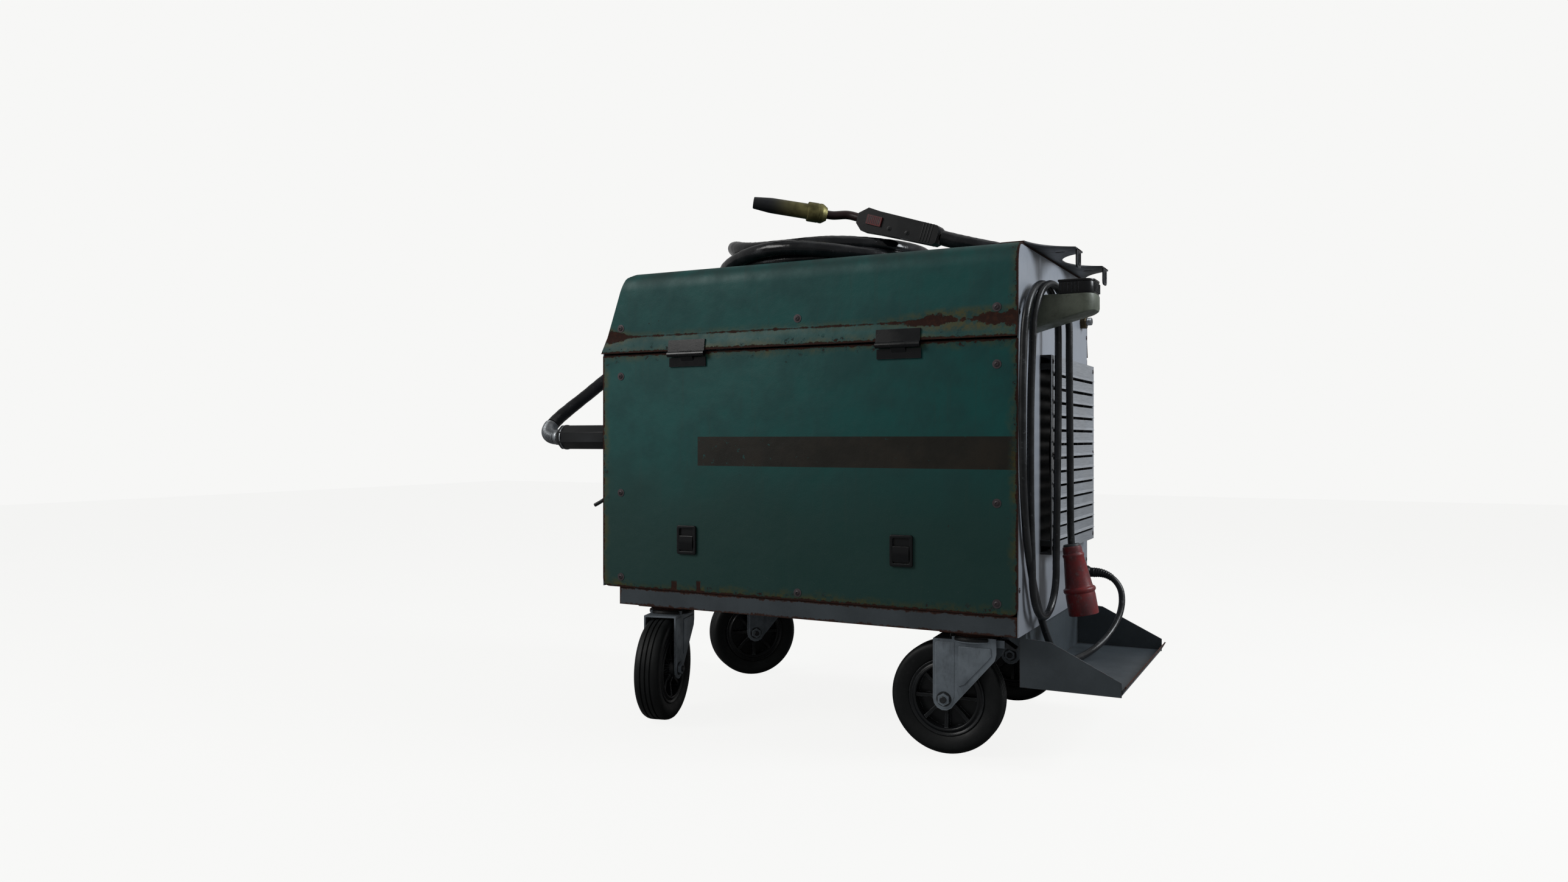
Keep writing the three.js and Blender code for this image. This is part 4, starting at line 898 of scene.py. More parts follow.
# ---- screws and small fixings ----
def screw(shape, at, way, radius=0.0052, height=0.0026):
    """A round head with a cross recess, its face towards way."""
    seat = turn_to(at, way)
    profile = [(radius, 0), (radius * 0.96, height * 0.35), (radius * 0.72, height * 0.8),
               (radius * 0.42, height),
               (radius * 0.40, height * 0.45), (0, height * 0.40)]
    shape.lathe([(0.0, 0.0)] + profile, seat, 20)
    shape.lathe([(radius * 1.5, 0.0), (radius * 1.5, 0.0006), (radius * 0.9, 0.0008), (radius * 0.9, 0.0)],
                seat, 24, closed=True)


SCREWS_FRONT, SCREWS_MIDDLE, SCREWS_REAR = -0.809, -0.411, -0.036


def make_screws():
    cabinet, door = Shape(), Shape()
    for x in (SCREWS_FRONT, SCREWS_MIDDLE, SCREWS_REAR):
        screw(cabinet, place(x, -0.0002, 0.775), -Y)
        screw(cabinet, place(x, WIDTH + 0.0002, 0.775), Y)
    for x in (SCREWS_FRONT, SCREWS_REAR):
        for z in (0.679, 0.445, 0.276):
            screw(door, place(x, -0.0002, z), -Y)
            screw(cabinet, place(x, WIDTH + 0.0002, z), Y)
    screw(door, place(SCREWS_MIDDLE, -0.0002, 0.270), -Y)
    for z in (0.30, 0.62, 0.766):
        screw(cabinet, place(0.0001, 0.0085, z), X, 0.0030, 0.0016)
        screw(cabinet, place(0.0001, WIDTH - 0.0085, z), X, 0.0030, 0.0016)
    for y in (0.16, 0.505):
        for z in (0.358, 0.525, 0.692):
            screw(cabinet, place(0.0201, y, z), X, 0.0030, 0.0016)
    for y in (0.10, 0.273, 0.446):
        screw(cabinet, place(-0.034, y, LID_TOP + 0.0034), Z, 0.0048, 0.0024)
    piece("cabinet_screws", cabinet, SCREW, "cabinet")
    piece("door_screws", door, SCREW, "door")


make_screws()


# ---- latches ----
LATCH_LOW, LATCH_HIGH = 0.329, 0.385


def make_latch(end, start):
    x0, x1 = start, start + 0.043
    bezel = Shape()
    outline = round_rect(x0, x1, LATCH_LOW, LATCH_HIGH, 0.004)
    mouth = round_rect(x0 + 0.006, x1 - 0.006, LATCH_LOW + 0.006, LATCH_HIGH - 0.006, 0.0025)
    bezel.plate([outline, mouth], 0.0044, basis(place(0, -0.0003, 0), X, Z), 0.0011)
    bezel.block(place(x0 + 0.003, -0.0012, LATCH_LOW + 0.003),
                place(x1 - 0.003, -0.0004, LATCH_HIGH - 0.003))
    piece(f"latch_frame_{end}", bezel, BLACK, "door", [f"latch_bezel_{end}"])
    low, high = LATCH_LOW + 0.0085, LATCH_HIGH - 0.0195
    face = [(-0.0027, low + 0.003), (-0.0033, low + 0.0004), (-0.0052, low + 0.0004), (-0.0064, low + 0.006),
            (-0.0068, low + 0.012),
            (-0.0064, low + 0.019), (-0.0050, high - 0.001), (-0.0040, high), (-0.0030, high),
            (-0.0028, high - 0.006)]
    paddle = Shape().prism(face, 0.043 - 0.0126, basis(place(x0 + 0.0063, 0, 0), Y, Z))
    piece(f"latch_flap_{end}", paddle, GLOSS_BLACK, f"latch_{end}", [f"latch_paddle_{end}"],
          bevel=0.0005)


for latch_end, latch_start in (("front", -0.673), ("rear", -0.228)):
    make_latch(latch_end, latch_start)

# ---- cable hook ----
HOOK_NEAR, HOOK_FAR, HOOK_REACH, HOOK_TOP = 0.064, 0.135, 0.110, 0.7995
HOOK_ROUND = 0.020


def hook_plan(inset, start, r=HOOK_ROUND):
    near, far, reach = HOOK_NEAR + inset, HOOK_FAR - inset, HOOK_REACH - inset
    r = max(r - inset, 0.002)
    return [(start, near)] + arc(reach - r, near + r, r, -90, 0, 8) + arc(reach - r, far - r, r, 0, 90,
                                                                          8) + [(start, far)]


def make_hook():
    arm = Shape()
    rings = []
    for inset, height in ((0.005, 0.0), (0.0012, 0.06), (0.0, 0.2), (0.0, 0.86), (0.0010, 0.97),
                          (0.004, 1.0)):
        ring = []
        for x, y in hook_plan(inset, 0.0003):
            under = 0.741 + 0.029 * max(x, 0) / HOOK_REACH
            ring.append(place(x, y, under + (HOOK_TOP - under) * height))
        rings.append(ring)
    arm.skin(rings)
    arm.block(place(0.0003, HOOK_NEAR - 0.004, 0.744), place(0.005, HOOK_FAR + 0.004, 0.797))
    piece("hook_arm", arm, HOOK_LOOK, "cabinet", ["cable_hook"], bevel=0.0012)
    lip = Shape()
    outer = hook_plan(0.0012, 0.052)
    inner = hook_plan(0.010, 0.052)
    outline = outer + inner[::-1]
    lip.plate([outline], 0.0205, basis(place(0, 0, HOOK_TOP - 0.0008), X, Y), 0.0008)
    outer, inner = hook_plan(0.0004, 0.0505), hook_plan(0.0112, 0.0505)
    lip.plate([outer + inner[::-1]], 0.0042, basis(place(0, 0, HOOK_TOP + 0.0197), X, Y), 0.0012)
    for i in range(1, 10):
        y = HOOK_NEAR + 0.014 + 0.0048 * i
        lip.rod(0.0012, 0.016, place(HOOK_REACH - 0.0012, y, HOOK_TOP + 0.002), Z, 8)
    for i in range(6):
        lip.rod(0.0012, 0.016, place(0.056 + 0.006 * i, HOOK_NEAR + 0.0014, HOOK_TOP + 0.002), Z, 8)
    piece("hook_lip", lip, GLOSS_BLACK, "cabinet")


make_hook()


# ---- bottle bracket ----
def bezier(a, b, c, steps=10):
    points = []
    for i in range(steps + 1):
        t = i / steps
        points.append(tuple((1 - t) ** 2 * a[k] + 2 * t * (1 - t) * b[k] + t * t * c[k] for k in (0, 1)))
    return points


SLOTS_Y = (0.1555, WIDTH - 0.1555)  # the bracket's strap slots and the horns they are in


def make_bracket():
    half = [(-0.052, 0.044), (-0.038, 0.030)] + bezier((0.002, 0.030), (0.014, 0.099), (0.067, 0.127))
    half += bezier((0.067, 0.184), (0.018, 0.204), (0.012, WIDTH / 2))[:-1]
    outline = half + [(x, WIDTH - y) for x, y in reversed(half)]
    shape = Shape()
    holes = [round_rect(0.024, 0.042, y - 0.004, y + 0.004, 0.0038) for y in SLOTS_Y]
    shape.plate([outline, *holes], 0.003, basis(place(0, 0, LID_TOP + 0.0003), X, Y), 0.0005)
    for y in SLOTS_Y:
        z1 = LID_TOP + 0.0033
        z0 = LID_TOP - 0.0307
        tip = arc(y - 0.008, z0 + 0.008, 0.008, 180, 270, 8) + arc(y + 0.008, z0 + 0.008, 0.008, 270, 360, 8)
        tip += [(y + 0.016, z1), (y - 0.016, z1)]
        mouth = round_rect(y - 0.005, y + 0.005, z0 + 0.008, z1 - 0.007, 0.0048)
        shape.plate([tip, mouth], 0.003, basis(place(0.064, 0, 0), Y, Z), 0.0005)
        collar = round_rect(y - 0.0085, y + 0.0085, z0 + 0.0045, z1 - 0.0035, 0.008)
        shape.plate([collar, mouth], 0.0014, basis(place(0.0668, 0, 0), Y, Z), 0.0006)
    piece("bottle_bracket_plate", shape, BRACKET_PAINT, "cabinet", ["bottle_bracket"])


make_bracket()


# ---- gas inlet, cable gland, torch plug ----
def hexagon(shape, flats, profile, at, way, turn=0.0):
    """A hexagonal nut whose radii are shares of its corners' radius."""
    corner = flats / math.sqrt(3)
    seat = turn_to(at, way) @ Matrix.Rotation(turn, 4, "Z")
    shape.lathe([(corner * r, h) for r, h in profile], seat, 6)


def make_rear_fittings():
    at = place(0.0003, 0.488, 0.795)
    nut = Shape()
    hexagon(nut, 0.027, [(0.0, 0.0), (1, 0), (1, 0.0094), (0.90, 0.011), (0.0, 0.011)], at, X)
    piece("gas_inlet_nut", nut, TARNISHED, "cabinet", ["gas_inlet"], bevel=0.0006)
    stud = Shape().lathe([(0, 0.010), (0.0078, 0.010), (0.0078, 0.0195), (0.0070, 0.0215), (0.0045, 0.0217),
                          (0.0040, 0.015),
                          (0, 0.015)], turn_to(at, X), 28)
    for i in range(4):
        stud.lathe([(0.0074, 0.0122 + 0.002 * i), (0.0082, 0.0132 + 0.002 * i),
                    (0.0074, 0.0142 + 0.002 * i)],
                   turn_to(at, X), 28, closed=True)
    piece("gas_inlet_stud", stud, BRIGHT, "cabinet")
    at = place(0.0003, 0.47, 0.281)
    gland = Shape()
    hexagon(gland, 0.030, [(0.0, 0.0), (1, 0), (1, 0.0078), (0.93, 0.009), (0.0, 0.009)], at, X)
    profile = [(0.0, 0.008), (0.0125, 0.008), (0.0125, 0.0185), (0.0118, 0.0200), (0.0098, 0.0225),
               (0.0094, 0.0292),
               (0.0066, 0.0294), (0.0066, 0.012), (0.0, 0.012)]
    gland.lathe(profile, turn_to(at, X), 36)
    for i in range(12):
        angle = math.radians(30 * i)
        foot = at + Vector((0.0095, 0.0124 * math.cos(angle), 0.0124 * math.sin(angle)))
        gland.rod(0.0011, 0.009, foot, X, 8)
    piece("mains_gland_nut", gland, BLACK, "cabinet", ["mains_gland"], bevel=0.0004)


make_rear_fittings()
WIRE_AT = (0.08, 0.557)


def make_torch_plug():
    at = place(-0.860, *WIRE_AT)
    turn = Matrix.Rotation(math.radians(22.5), 4, "Z")
    body = Shape().lathe([
        (0, 0), (0.0262, 0), (0.0275, 0.0015), (0.0275, 0.030), (0.0262, 0.0312), (0.0262, 0.0345),
        (0.0275, 0.0358),
        (0.0275, 0.156), (0.0266, 0.1578), (0.0150, 0.1725), (0.0140, 0.173), (0, 0.173),
    ], turn_to(at, -X) @ turn, 8)
    piece("torch_plug_body", body, BLACK, "cabinet", ["torch_plug"], bevel=0.0014)
    rings = Shape()
    for run in (0.0328, 0.150):
        rings.lathe([(0.0255, run - 0.0016), (0.0268, run - 0.0012), (0.0268, run + 0.0012),
                     (0.0255, run + 0.0016)],
                    turn_to(at, -X), 48, closed=True)
    rings.lathe([(0.0125, 0.168), (0.0165, 0.168), (0.0168, 0.172), (0.0168, 0.177), (0.0155, 0.179),
                 (0.0125, 0.179)],
                turn_to(at, -X), 36, closed=True)
    piece("torch_plug_rings", rings, SPRING, "cabinet")
    bend = 0.044
    middle = [place(-1.031, *WIRE_AT)]
    for i in range(41):
        angle = math.pi / 2 * i / 40
        side = bend * (1 - math.cos(angle))
        middle.append(place(-1.037 - bend * math.sin(angle), WIRE_AT[0] + 0.8 * side,
                            WIRE_AT[1] + 0.6 * side))
    middle = smooth_path(middle, 0.0012)
    coil, side, run = [], None, 0.0
    pitch, wind = 0.0034, 0.0145
    fine = []
    for a, b in zip(middle, middle[1:]):
        fine += [a.lerp(b, k / 6) for k in range(6)]
    for i, point in enumerate(fine[:-1]):
        way = (fine[i + 1] - point).normalized()
        side = way.orthogonal().normalized() if side is None else (side - way * side.dot(way)).normalized()
        angle = 2 * math.pi * run / pitch
        coil.append(point + wind * (math.cos(angle) * side + math.sin(angle) * way.cross(side)))
        run += (fine[i + 1] - point).length
    piece("torch_spring", Shape().tube(coil, 0.00155, 6), SPRING, "cabinet", smooth=80)


make_torch_plug()


# ---- front fittings ----
SLOPE = math.atan2(LID_FRONT + LENGTH, LID_TOP - LID_LOW)
OUTWARD = Vector((-math.cos(SLOPE), 0, math.sin(SLOPE)))
UP_SLOPE = Vector((math.sin(SLOPE), 0, math.cos(SLOPE)))
FRONT = -LENGTH - 0.0018


def on_slope(y, up):
    return place(-LENGTH - 0.0015, y, LID_LOW) + UP_SLOPE * up + OUTWARD * 0.0015


def make_knob(name, node, radius, height, at, way, body, material):
    """A turned knob with a knurled skirt, a finger bar and a pointer line."""
    seat = turn_to(at, way)
    knob = Shape().lathe([
        (0, 0), (radius, 0), (radius, 0.003), (radius - 0.0012, 0.0042), (radius - 0.005, 0.0062),
        (radius - 0.0062, height - 0.003),
        (radius - 0.0072, height - 0.0014), (0, height - 0.0012),
    ], seat, 48)
    for i in range(24):
        angle = 2 * math.pi * i / 24
        foot = seat @ Vector(((radius - 0.0058) * math.cos(angle), (radius - 0.0058) * math.sin(angle),
                              0.0064))
        knob.rod(0.0009, height - 0.0105, foot, way, 6)
    knob.block((-radius + 0.0085, -0.0026, height - 0.003), (radius - 0.0085, 0.0026, height), seat)
    piece(name, knob, material, body, [node], bevel=0.0004)
    mark = Shape().block((radius * 0.45, -0.0007, height - 0.0002),
                         (radius - 0.0095, 0.0007, height + 0.0002), seat)
    piece(name + "_pointer", mark, WHITE, body)


def make_front():
    make_knob("voltage_knob", "voltage_switch", 0.028, 0.024, on_slope(0.130, 0.080), OUTWARD,
              "voltage_switch", BLACK)
    make_knob("wire_knob", "wire_speed_knob", 0.020, 0.020, on_slope(0.250, 0.080), OUTWARD,
              "wire_speed_knob", BLACK)
    make_knob("mains_knob", "mains_switch", 0.030, 0.026, place(FRONT, 0.440, 0.620), -X, "mains_switch",
              RED)
    seat = basis(on_slope(0.400, 0.080), -Y, UP_SLOPE)
    bezel = Shape()
    outer = round_rect(-0.048, 0.048, -0.027, 0.027, 0.005)
    window = round_rect(-0.041, 0.041, -0.020, 0.020, 0.003)
    bezel.plate([outer, window], 0.010, seat, 0.0012)
    bezel.block((-0.044, -0.024, 0.0), (0.044, 0.024, 0.004), seat)
    piece("meter_bezel", bezel, GLOSS_BLACK, "cabinet", ["panel_meter"])
    dial = Shape().block((-0.041, -0.020, 0.004), (0.041, 0.020, 0.0052), seat)
    piece("meter_dial", dial, WHITE, "cabinet", bevel=0.0003)
    marks = Shape()
    for i in range(21):
        angle = math.radians(145 - 110 * i / 20)
        long = 0.0055 if i % 5 == 0 else 0.0032
        middle = seat @ Matrix.Translation((0, -0.024, 0.0052)) @ Matrix.Rotation(angle, 4, "Z")
        marks.block((0.036 - long, -0.0003, 0), (0.036, 0.0003, 0.0003), middle)
    needle = seat @ Matrix.Translation((0, -0.019, 0.0056)) @ Matrix.Rotation(math.radians(128), 4, "Z")
    marks.block((0, -0.0004, 0), (0.029, 0.0004, 0.0004), needle)
    piece("meter_marks", marks, BLACK, "cabinet")
    earth = place(FRONT, 0.430, 0.330)
    socket = Shape().lathe([
        (0.0070, 0.002), (0.0070, 0.0145), (0.0082, 0.016), (0.0178, 0.016), (0.0190, 0.0148),
        (0.0195, 0.006), (0.0232, 0.0050),
        (0.0240, 0.0040), (0.0240, 0.0), (0.0070, 0.0),
    ], turn_to(earth, -X), 48, closed=True)
    piece("earth_socket_ring", socket, BLACK, "cabinet", ["earth_socket"])
    contact = Shape().lathe([(0.0069, 0.001), (0.0069, 0.0125), (0.0058, 0.0135), (0.0052, 0.0125),
                             (0.0052, 0.001)],
                            turn_to(earth, -X), 32, closed=True)
    piece("earth_socket_contact", contact, BRASS, "cabinet")


make_front()

# ---- castors ----
CASTORS = {
    "front_near": (-0.726, 0.059, 103), "front_far": (-0.726, 0.487, 45),
    "rear_near": (-0.091, 0.059, 4), "rear_far": (-0.091, 0.487, 0),
}
TRAIL, WHEEL_R = 0.048, 0.100


def castor_matrix(name):
    x, y, turn = CASTORS[name]
    return Matrix.Translation(place(x, y, 0)) @ Matrix.Rotation(math.radians(turn), 4, "Z")


def make_wheel(name):
    wheel = castor_matrix(name) @ Matrix.Translation((-TRAIL, 0, WHEEL_R))
    axle = wheel @ Matrix.Rotation(-math.pi / 2, 4, "X")
    rim = Shape()
    rim.lathe([
        (0.0540, -0.0175), (0.0545, -0.0208), (0.0562, -0.0222), (0.0585, -0.0222), (0.0600, -0.0205),
        (0.0625, -0.0190),
        (0.0650, -0.0205), (0.0668, -0.0212), (0.0683, -0.0195), (0.0683, 0.0195), (0.0668, 0.0212),
        (0.0650, 0.0205),
        (0.0625, 0.0190), (0.0600, 0.0205), (0.0585, 0.0222), (0.0562, 0.0222), (0.0545, 0.0208),
        (0.0540, 0.0175),
    ], axle, 64, closed=True)
    rim.lathe([(0.0150, -0.0030), (0.0550, -0.0022), (0.0550, 0.0022), (0.0150, 0.0030)], axle, 48,
              closed=True)
    rim.lathe([
        (0.0066, -0.0278), (0.0150, -0.0278), (0.0164, -0.0262), (0.0180, -0.0140), (0.0182, 0.0140),
        (0.0164, 0.0262),
        (0.0150, 0.0278), (0.0066, 0.0278),
    ], axle, 32, closed=True)
    for i in range(8):
        spoke = wheel @ Matrix.Rotation(2 * math.pi * i / 8, 4, "Y")
        rings = []
        for run, wide, deep in ((0.0155, 0.0040, 0.0205), (0.0300, 0.0028, 0.0150),
                                (0.0545, 0.0034, 0.0180)):
            rings.append([spoke @ Vector((run, a * deep, b * wide)) for a,
                          b in ((-1, -1), (1, -1), (1, 1), (-1, 1))])
        rim.skin(rings)
    piece(f"rim_{name}_moulding", rim, RIM_BLACK, f"wheel_{name}", [f"rim_{name}"],
          bevel=0.0007)
    half = [(0.0686, 0.0190), (0.0720, 0.0212), (0.0800, 0.0238), (0.0880, 0.0250), (0.0930, 0.0243),
            (0.0970, 0.0215),
            (0.0990, 0.0178), (0.0998, 0.0140)]
    grooves = []
    for middle in (0.0095, 0.0, -0.0095):
        grooves += [(0.1000, middle + 0.0016), (0.0972, middle + 0.0011), (0.0968, middle),
                    (0.0972, middle - 0.0011),
                    (0.1000, middle - 0.0016)]
    profile = half + grooves + [(r, -h) for r, h in reversed(half)]
    tyre = Shape().lathe(profile, axle, 96, closed=True)
    piece(f"tyre_{name}_tread", tyre, TYRE, f"wheel_{name}", [f"tyre_{name}"], smooth=42)


def make_fork_details(name):
    """Pressed faces, washers and the swivel's rings on the CAD fork."""
    seat = castor_matrix(name)
    faces, fixings, ring = Shape(), Shape(), Shape()
    for side in (1, -1):
        matrix = seat @ basis(Vector((0, side * 0.0329, 0)), X,
                              Z) if side < 0 else seat @ basis(Vector((0, 0.0329, 0)), -X, Z)
        flip = 1 if side < 0 else -1
        gusset = [(-0.022, 0.194), (0.034, 0.194), (0.0352, 0.181), (0.030, 0.174), (-0.012, 0.128),
                  (-0.022, 0.124)]
        faces.plate([[(flip * x, z) for x, z in gusset]], 0.0020, matrix, 0.0009)
        strip = [(-0.064, 0.198), (-0.060, 0.200), (-0.030, 0.200), (-0.030, 0.104)] + arc(-TRAIL, WHEEL_R,
                                                                                           0.0165, 10, -190,
                                                                                           12)
        hole = arc(-TRAIL, WHEEL_R, 0.0135, 0, 350, 24)
        faces.plate([[(flip * x, z) for x, z in strip], [(flip * x, z) for x, z in hole]], 0.0009, matrix,
                    0.0004)
        outward = seat.to_3x3() @ Vector((0, side, 0))
        at = seat @ Vector((-TRAIL, side * 0.0332, WHEEL_R))
        fixings.lathe([(0.0064, 0), (0.0125, 0), (0.0128, 0.0006), (0.0124, 0.0014), (0.0064, 0.0014)],
                      turn_to(at, outward), 32,
                      closed=True)
        fixings.lathe([(0.0, 0.0066), (0.0058, 0.0066), (0.0058, 0.0092), (0.0046, 0.0102), (0, 0.0102)],
                      turn_to(at, outward), 24)
    piece(f"fork_{name}_faces", faces, ZINC, f"fork_{name}")
    piece(f"fork_{name}_fixings", fixings, DARK_STEEL, f"fork_{name}")
    ring.lathe([(0.0400, 0.2040), (0.0438, 0.2042), (0.0446, 0.2052), (0.0446, 0.2092), (0.0436, 0.2105),
                (0.0400, 0.2106)],
               seat, 56, closed=True)
    ring.lathe([(0.0386, 0.2104), (0.0420, 0.2104), (0.0420, 0.2116), (0.0386, 0.2116)], seat, 48,
               closed=True)
    piece(f"fork_{name}_ring", ring, BLACK, f"fork_{name}")


for castor_name in CASTORS:
    make_wheel(castor_name)
    make_fork_details(castor_name)

# ---- torch ----
TORCH_BACK, TORCH_FRONT = place(-0.192, 0.160, 0.932), place(-0.353, 0.160, 0.983)
TORCH_NECK, TORCH_TIP = place(-0.418, 0.140, 0.993), place(-0.536, 0.058, 1.012)
HANDLE_WAY = (TORCH_FRONT - TORCH_BACK).normalized()
HANDLE_UP = HANDLE_WAY.cross(Y).normalized()


def make_torch():
    into = (TORCH_TIP - TORCH_NECK).normalized()
    start = TORCH_FRONT + HANDLE_WAY * 0.0004
    neck_path = smooth_path([start, TORCH_FRONT + HANDLE_WAY * 0.030, TORCH_NECK - into * 0.012,
                             TORCH_NECK + into * 0.008], 0.003)
    neck = Shape().tube(neck_path, 0.0084, 24)
    piece("torch_neck_tube", neck, NECK, "cabinet", ["torch_neck"], bevel=0.0008)
    tip = Shape().lathe([(0, 0), (0.0048, 0), (0.0048, 0.118), (0.0040, 0.124), (0.0012, 0.1245),
                         (0.0012, 0.120), (0, 0.120)],
                        turn_to(TORCH_NECK + into * 0.004, into), 20)
    piece("torch_contact_tip", tip, COPPER, "cabinet")
    long = (TORCH_TIP - TORCH_NECK).length
    nozzle = Shape().lathe([
        (0.0092, 0.0), (0.0128, 0.0), (0.0136, 0.0012), (0.0184, 0.0085), (0.0190, 0.0100), (0.0190, 0.0150),
        (0.0184, 0.0156),
        (0.0184, 0.0170), (0.0190, 0.0176), (0.0190, 0.0365), (0.0182, 0.0380), (0.0158, 0.0386),
        (0.0150, 0.0400),
        (0.0147, long - 0.036), (0.0143, long - 0.030), (0.0114, long - 0.002), (0.0108, long),
        (0.0092, long), (0.0092, long - 0.004),
        (0.0110, long - 0.036), (0.0112, 0.010), (0.0092, 0.008),
    ], turn_to(TORCH_NECK, into), 56, closed=True)
    piece("torch_nozzle_cup", nozzle, NOZZLE, "cabinet", ["torch_nozzle"])
    ribs = Shape()
    frame_of_handle = basis(place(-0.318, 0.160, 0.972) - Y * 0.0205, HANDLE_WAY, HANDLE_UP)
    for i in range(7):
        across = -0.0115 + 0.0038 * i
        ribs.block((across - 0.0008, -0.0072, -0.001), (across + 0.0008, 0.0072, 0.0007), frame_of_handle)
    piece("torch_trigger_ribs", ribs, GREY_NUT, "torch_trigger", bevel=0.0003)
    details = Shape()
    for run in (0.012, 0.018, 0.024, 0.030):
        middle = TORCH_BACK + HANDLE_WAY * run
        seat = basis(middle, Y, HANDLE_UP)
        outline = round_rect(-0.0176, 0.0176, -0.0198, 0.0188, 0.004)
        details.plate([outline], 0.0026, seat, 0.0006)
    for run in (0.060, 0.098):
        screw(details, TORCH_BACK + HANDLE_WAY * run - Y * 0.0171 + HANDLE_UP * 0.008, -Y, 0.0030, 0.0012)
    piece("torch_handle_rings", details, BLACK, "cabinet")


NOZZLE = tarnished("nozzle_brass", (0.185, 0.168, 0.068), 0.40,
                   (TORCH_TIP, (TORCH_NECK - TORCH_TIP).normalized(), 0.105))
make_torch()

# ---- wire spool ----
SPOOL_AT = place(-0.250, 0.087, 0.485)


def make_spool():
    seat = turn_to(SPOOL_AT, Y)
    body = Shape()
    for side in (-1, 1):
        outside, inside = side * 0.048, side * 0.0445
        rim_h = sorted((outside, inside))
        body.lathe([(0.026, rim_h[0]), (0.046, rim_h[0]), (0.046, rim_h[1]), (0.026, rim_h[1])], seat, 48,
                   closed=True)
        body.lathe([(0.126, rim_h[0]), (0.146, rim_h[0]), (0.148, (rim_h[0] + rim_h[1]) / 2),
                    (0.146, rim_h[1]), (0.126, rim_h[1])],
                   seat, 72, closed=True)
        for i in range(8):
            spoke = seat @ Matrix.Rotation(2 * math.pi * i / 8, 4, "Z")
            body.block((0.044, -0.009, rim_h[0]), (0.128, 0.009, rim_h[1]), spoke)
    body.lathe([(0.026, -0.0475), (0.032, -0.0475), (0.032, 0.0475), (0.026, 0.0475)], seat, 48, closed=True)
    piece("spool_frame", body, BLACK, "spool", ["wire_spool"], bevel=0.0008)
    wire = Shape()
    profile = [(0.052, -0.044)]
    rows = 34
    for i in range(rows + 1):
        h = -0.0435 + 0.087 * i / rows
        profile += [(0.1225 + 0.0010 * math.sin(i * 0.7), h), (0.1212, h + 0.0435 / rows)]
    profile += [(0.052, 0.044)]
    wire.lathe(profile, seat, 72, closed=True)
    piece("spool_wire", wire, wound_wire(), "spool")


make_spool()

# ---- finishes of the CAD parts that stay ----
FINISHES = [
    (RAIL_PAINT, 0.0012, ["base_frame"]), (TRAY_PAINT, 0.0009, ["gas_tray"]),
    (PANEL, 0.0006, ["front_panel", "divider"]), (PANEL, 0.0005, ["rear_panel"]),
    (LOUVRE, 0.0005, ["vent_louvre"]),
    (GLOSS_BLACK, 0.0009, ["hinge_leaf_front", "hinge_leaf_rear", "door_leaf_front", "door_leaf_rear"]),
    (BLACK, 0.0010, ["fan_motor", "pressure_arm"]), (BLACK, 0.0008, ["fan_rotor"]),
    (IRON, 0.0008, ["transformer_core"]), (COPPER, 0.0030, ["transformer_winding"]),
    (CAST, 0.0010, ["feed_drive"]), (BRIGHT, 0.0004, ["drive_roll", "pressure_roll"]),
    (BRASS, 0.0008, ["torch_socket"]), (BLACK, 0.0006, ["gas_test_lever"]),
    (BLACK, 0.0026, ["torch_handle"]),
    (RED, 0.0012, ["torch_trigger"]), (DARK_STEEL, 0.0008, ["brake_rear_near"]),
    (ZINC, 0.0010, [f"fork_{name}" for name in CASTORS]),
]

for finish, edge_width, node_names in FINISHES:
    for node_name in node_names:
        node = bpy.data.objects[node_name]
        node.data.materials.clear()
        node.data.materials.append(finish)
        bevelled(node, edge_width, 28).harden_normals = True


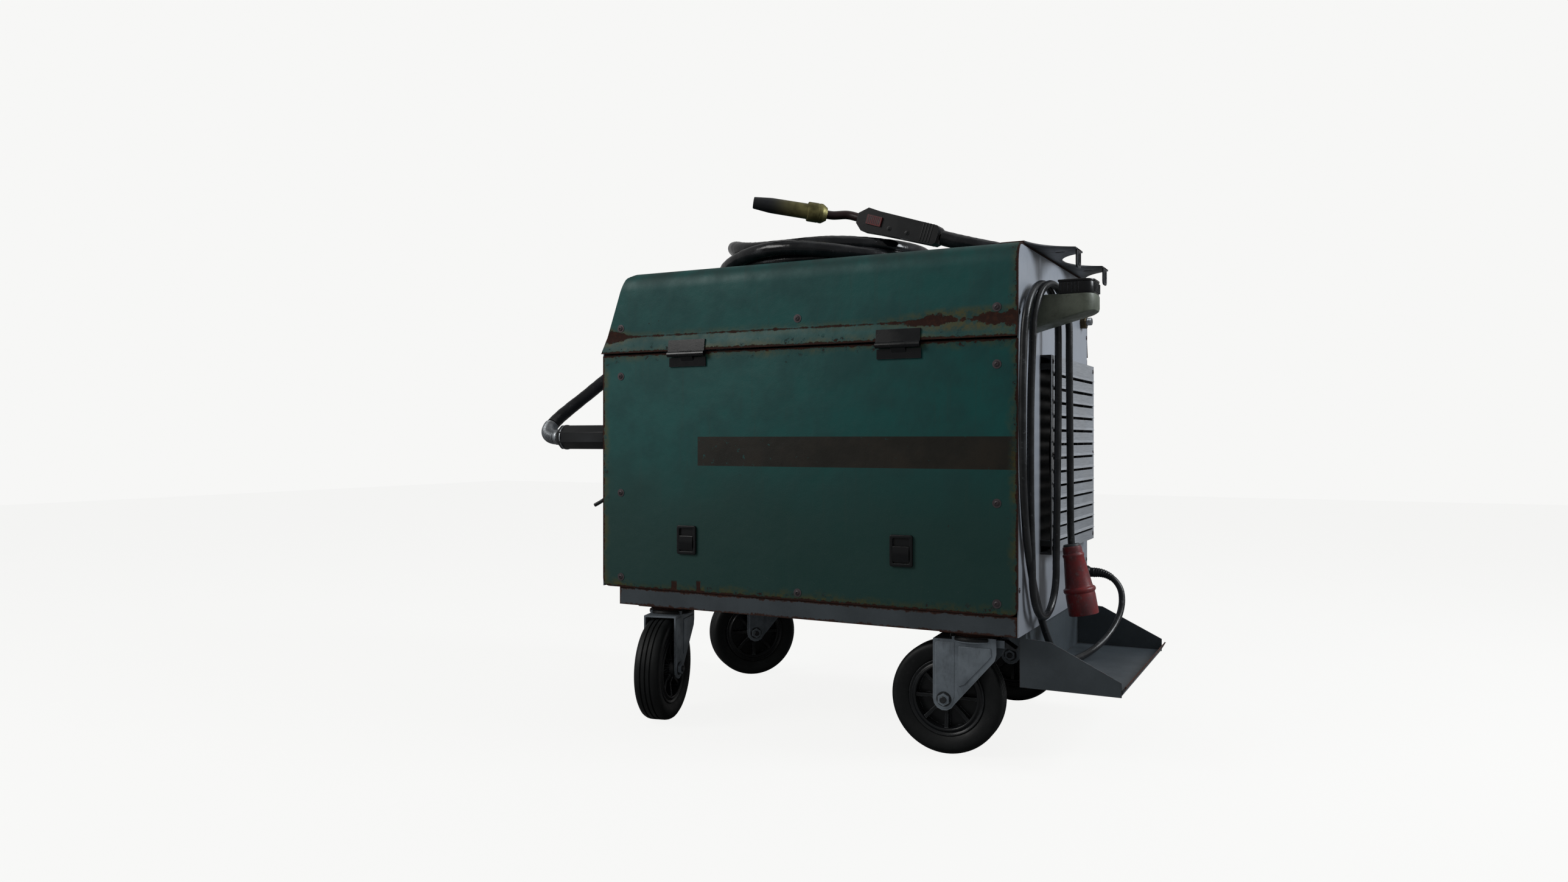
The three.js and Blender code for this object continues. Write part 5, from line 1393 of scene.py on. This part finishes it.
# ---- floor and light ----
def make_stage():
    look = Look("floor")
    cloud = look.noise(3, 3)
    seen = look.add("ShaderNodeLightPath").outputs["Is Camera Ray"]
    pale = look.mix(cloud, (0.058, 0.058, 0.057), (0.064, 0.064, 0.063))
    look.finish(look.mix(seen, (0.24, 0.24, 0.24), pale), 0.9, specular=0.0)
    look.put(look.shader.inputs["Emission Color"], (1.0, 1.0, 0.99))
    look.put(look.shader.inputs["Emission Strength"], look.times(seen, FLOOR_GLOW))
    shape = Shape().block((-9, -9, -0.02), (9, 9, 0))
    mesh = bpy.data.meshes.new("floor")
    shape.bm.to_mesh(mesh)
    shape.bm.free()
    mesh.materials.append(look.material)
    floor = bpy.data.objects.new("floor", mesh)
    bpy.context.scene.collection.objects.link(floor)
    world = bpy.data.worlds.new("studio")
    world.use_nodes = True
    tree = world.node_tree
    background = tree.nodes["Background"]
    background.inputs["Color"].default_value = (1.0, 1.0, 0.99, 1.0)
    strength = tree.nodes.new("ShaderNodeMapRange")
    strength.inputs["To Min"].default_value = WORLD_LIGHT
    strength.inputs["To Max"].default_value = BACKDROP
    tree.links.new(tree.nodes.new("ShaderNodeLightPath").outputs["Is Camera Ray"], strength.inputs["Value"])
    tree.links.new(strength.outputs["Result"], background.inputs["Strength"])
    bpy.context.scene.world = world


def area_light(name, at, target, size, power, colour=(1, 1, 1)):
    data = bpy.data.lights.new(name, "AREA")
    data.shape = "RECTANGLE"
    data.size, data.size_y = size
    data.energy = power
    data.color = colour
    light = bpy.data.objects.new(name, data)
    light.matrix_world = turn_to(Vector(at), Vector(at) - Vector(target))
    bpy.context.scene.collection.objects.link(light)


WORLD_LIGHT = 0.30  # the light that the surroundings throw on the machine
BACKDROP = 0.93  # how bright the same surroundings look
FLOOR_GLOW = 0.885
bpy.context.scene.view_settings.view_transform = "Standard"
make_stage()
area_light("key", (-2.2, -2.6, 2.6), (0, 0, 0.55), (1.6, 1.6), 60, (1.0, 0.99, 0.97))
area_light("rear", (2.7, 0.5, 2.0), (0.4, 0, 0.75), (0.9, 1.4), 75, (0.92, 0.96, 1.0))
area_light("strip", (-2.0, -1.6, 0.7), (-0.5, 0, 0.75), (0.3, 1.2), 2.0, (0.92, 0.96, 1.0))
area_light("over", (0.2, 0.4, 3.0), (0, 0, 0.6), (2.0, 2.0), 5)
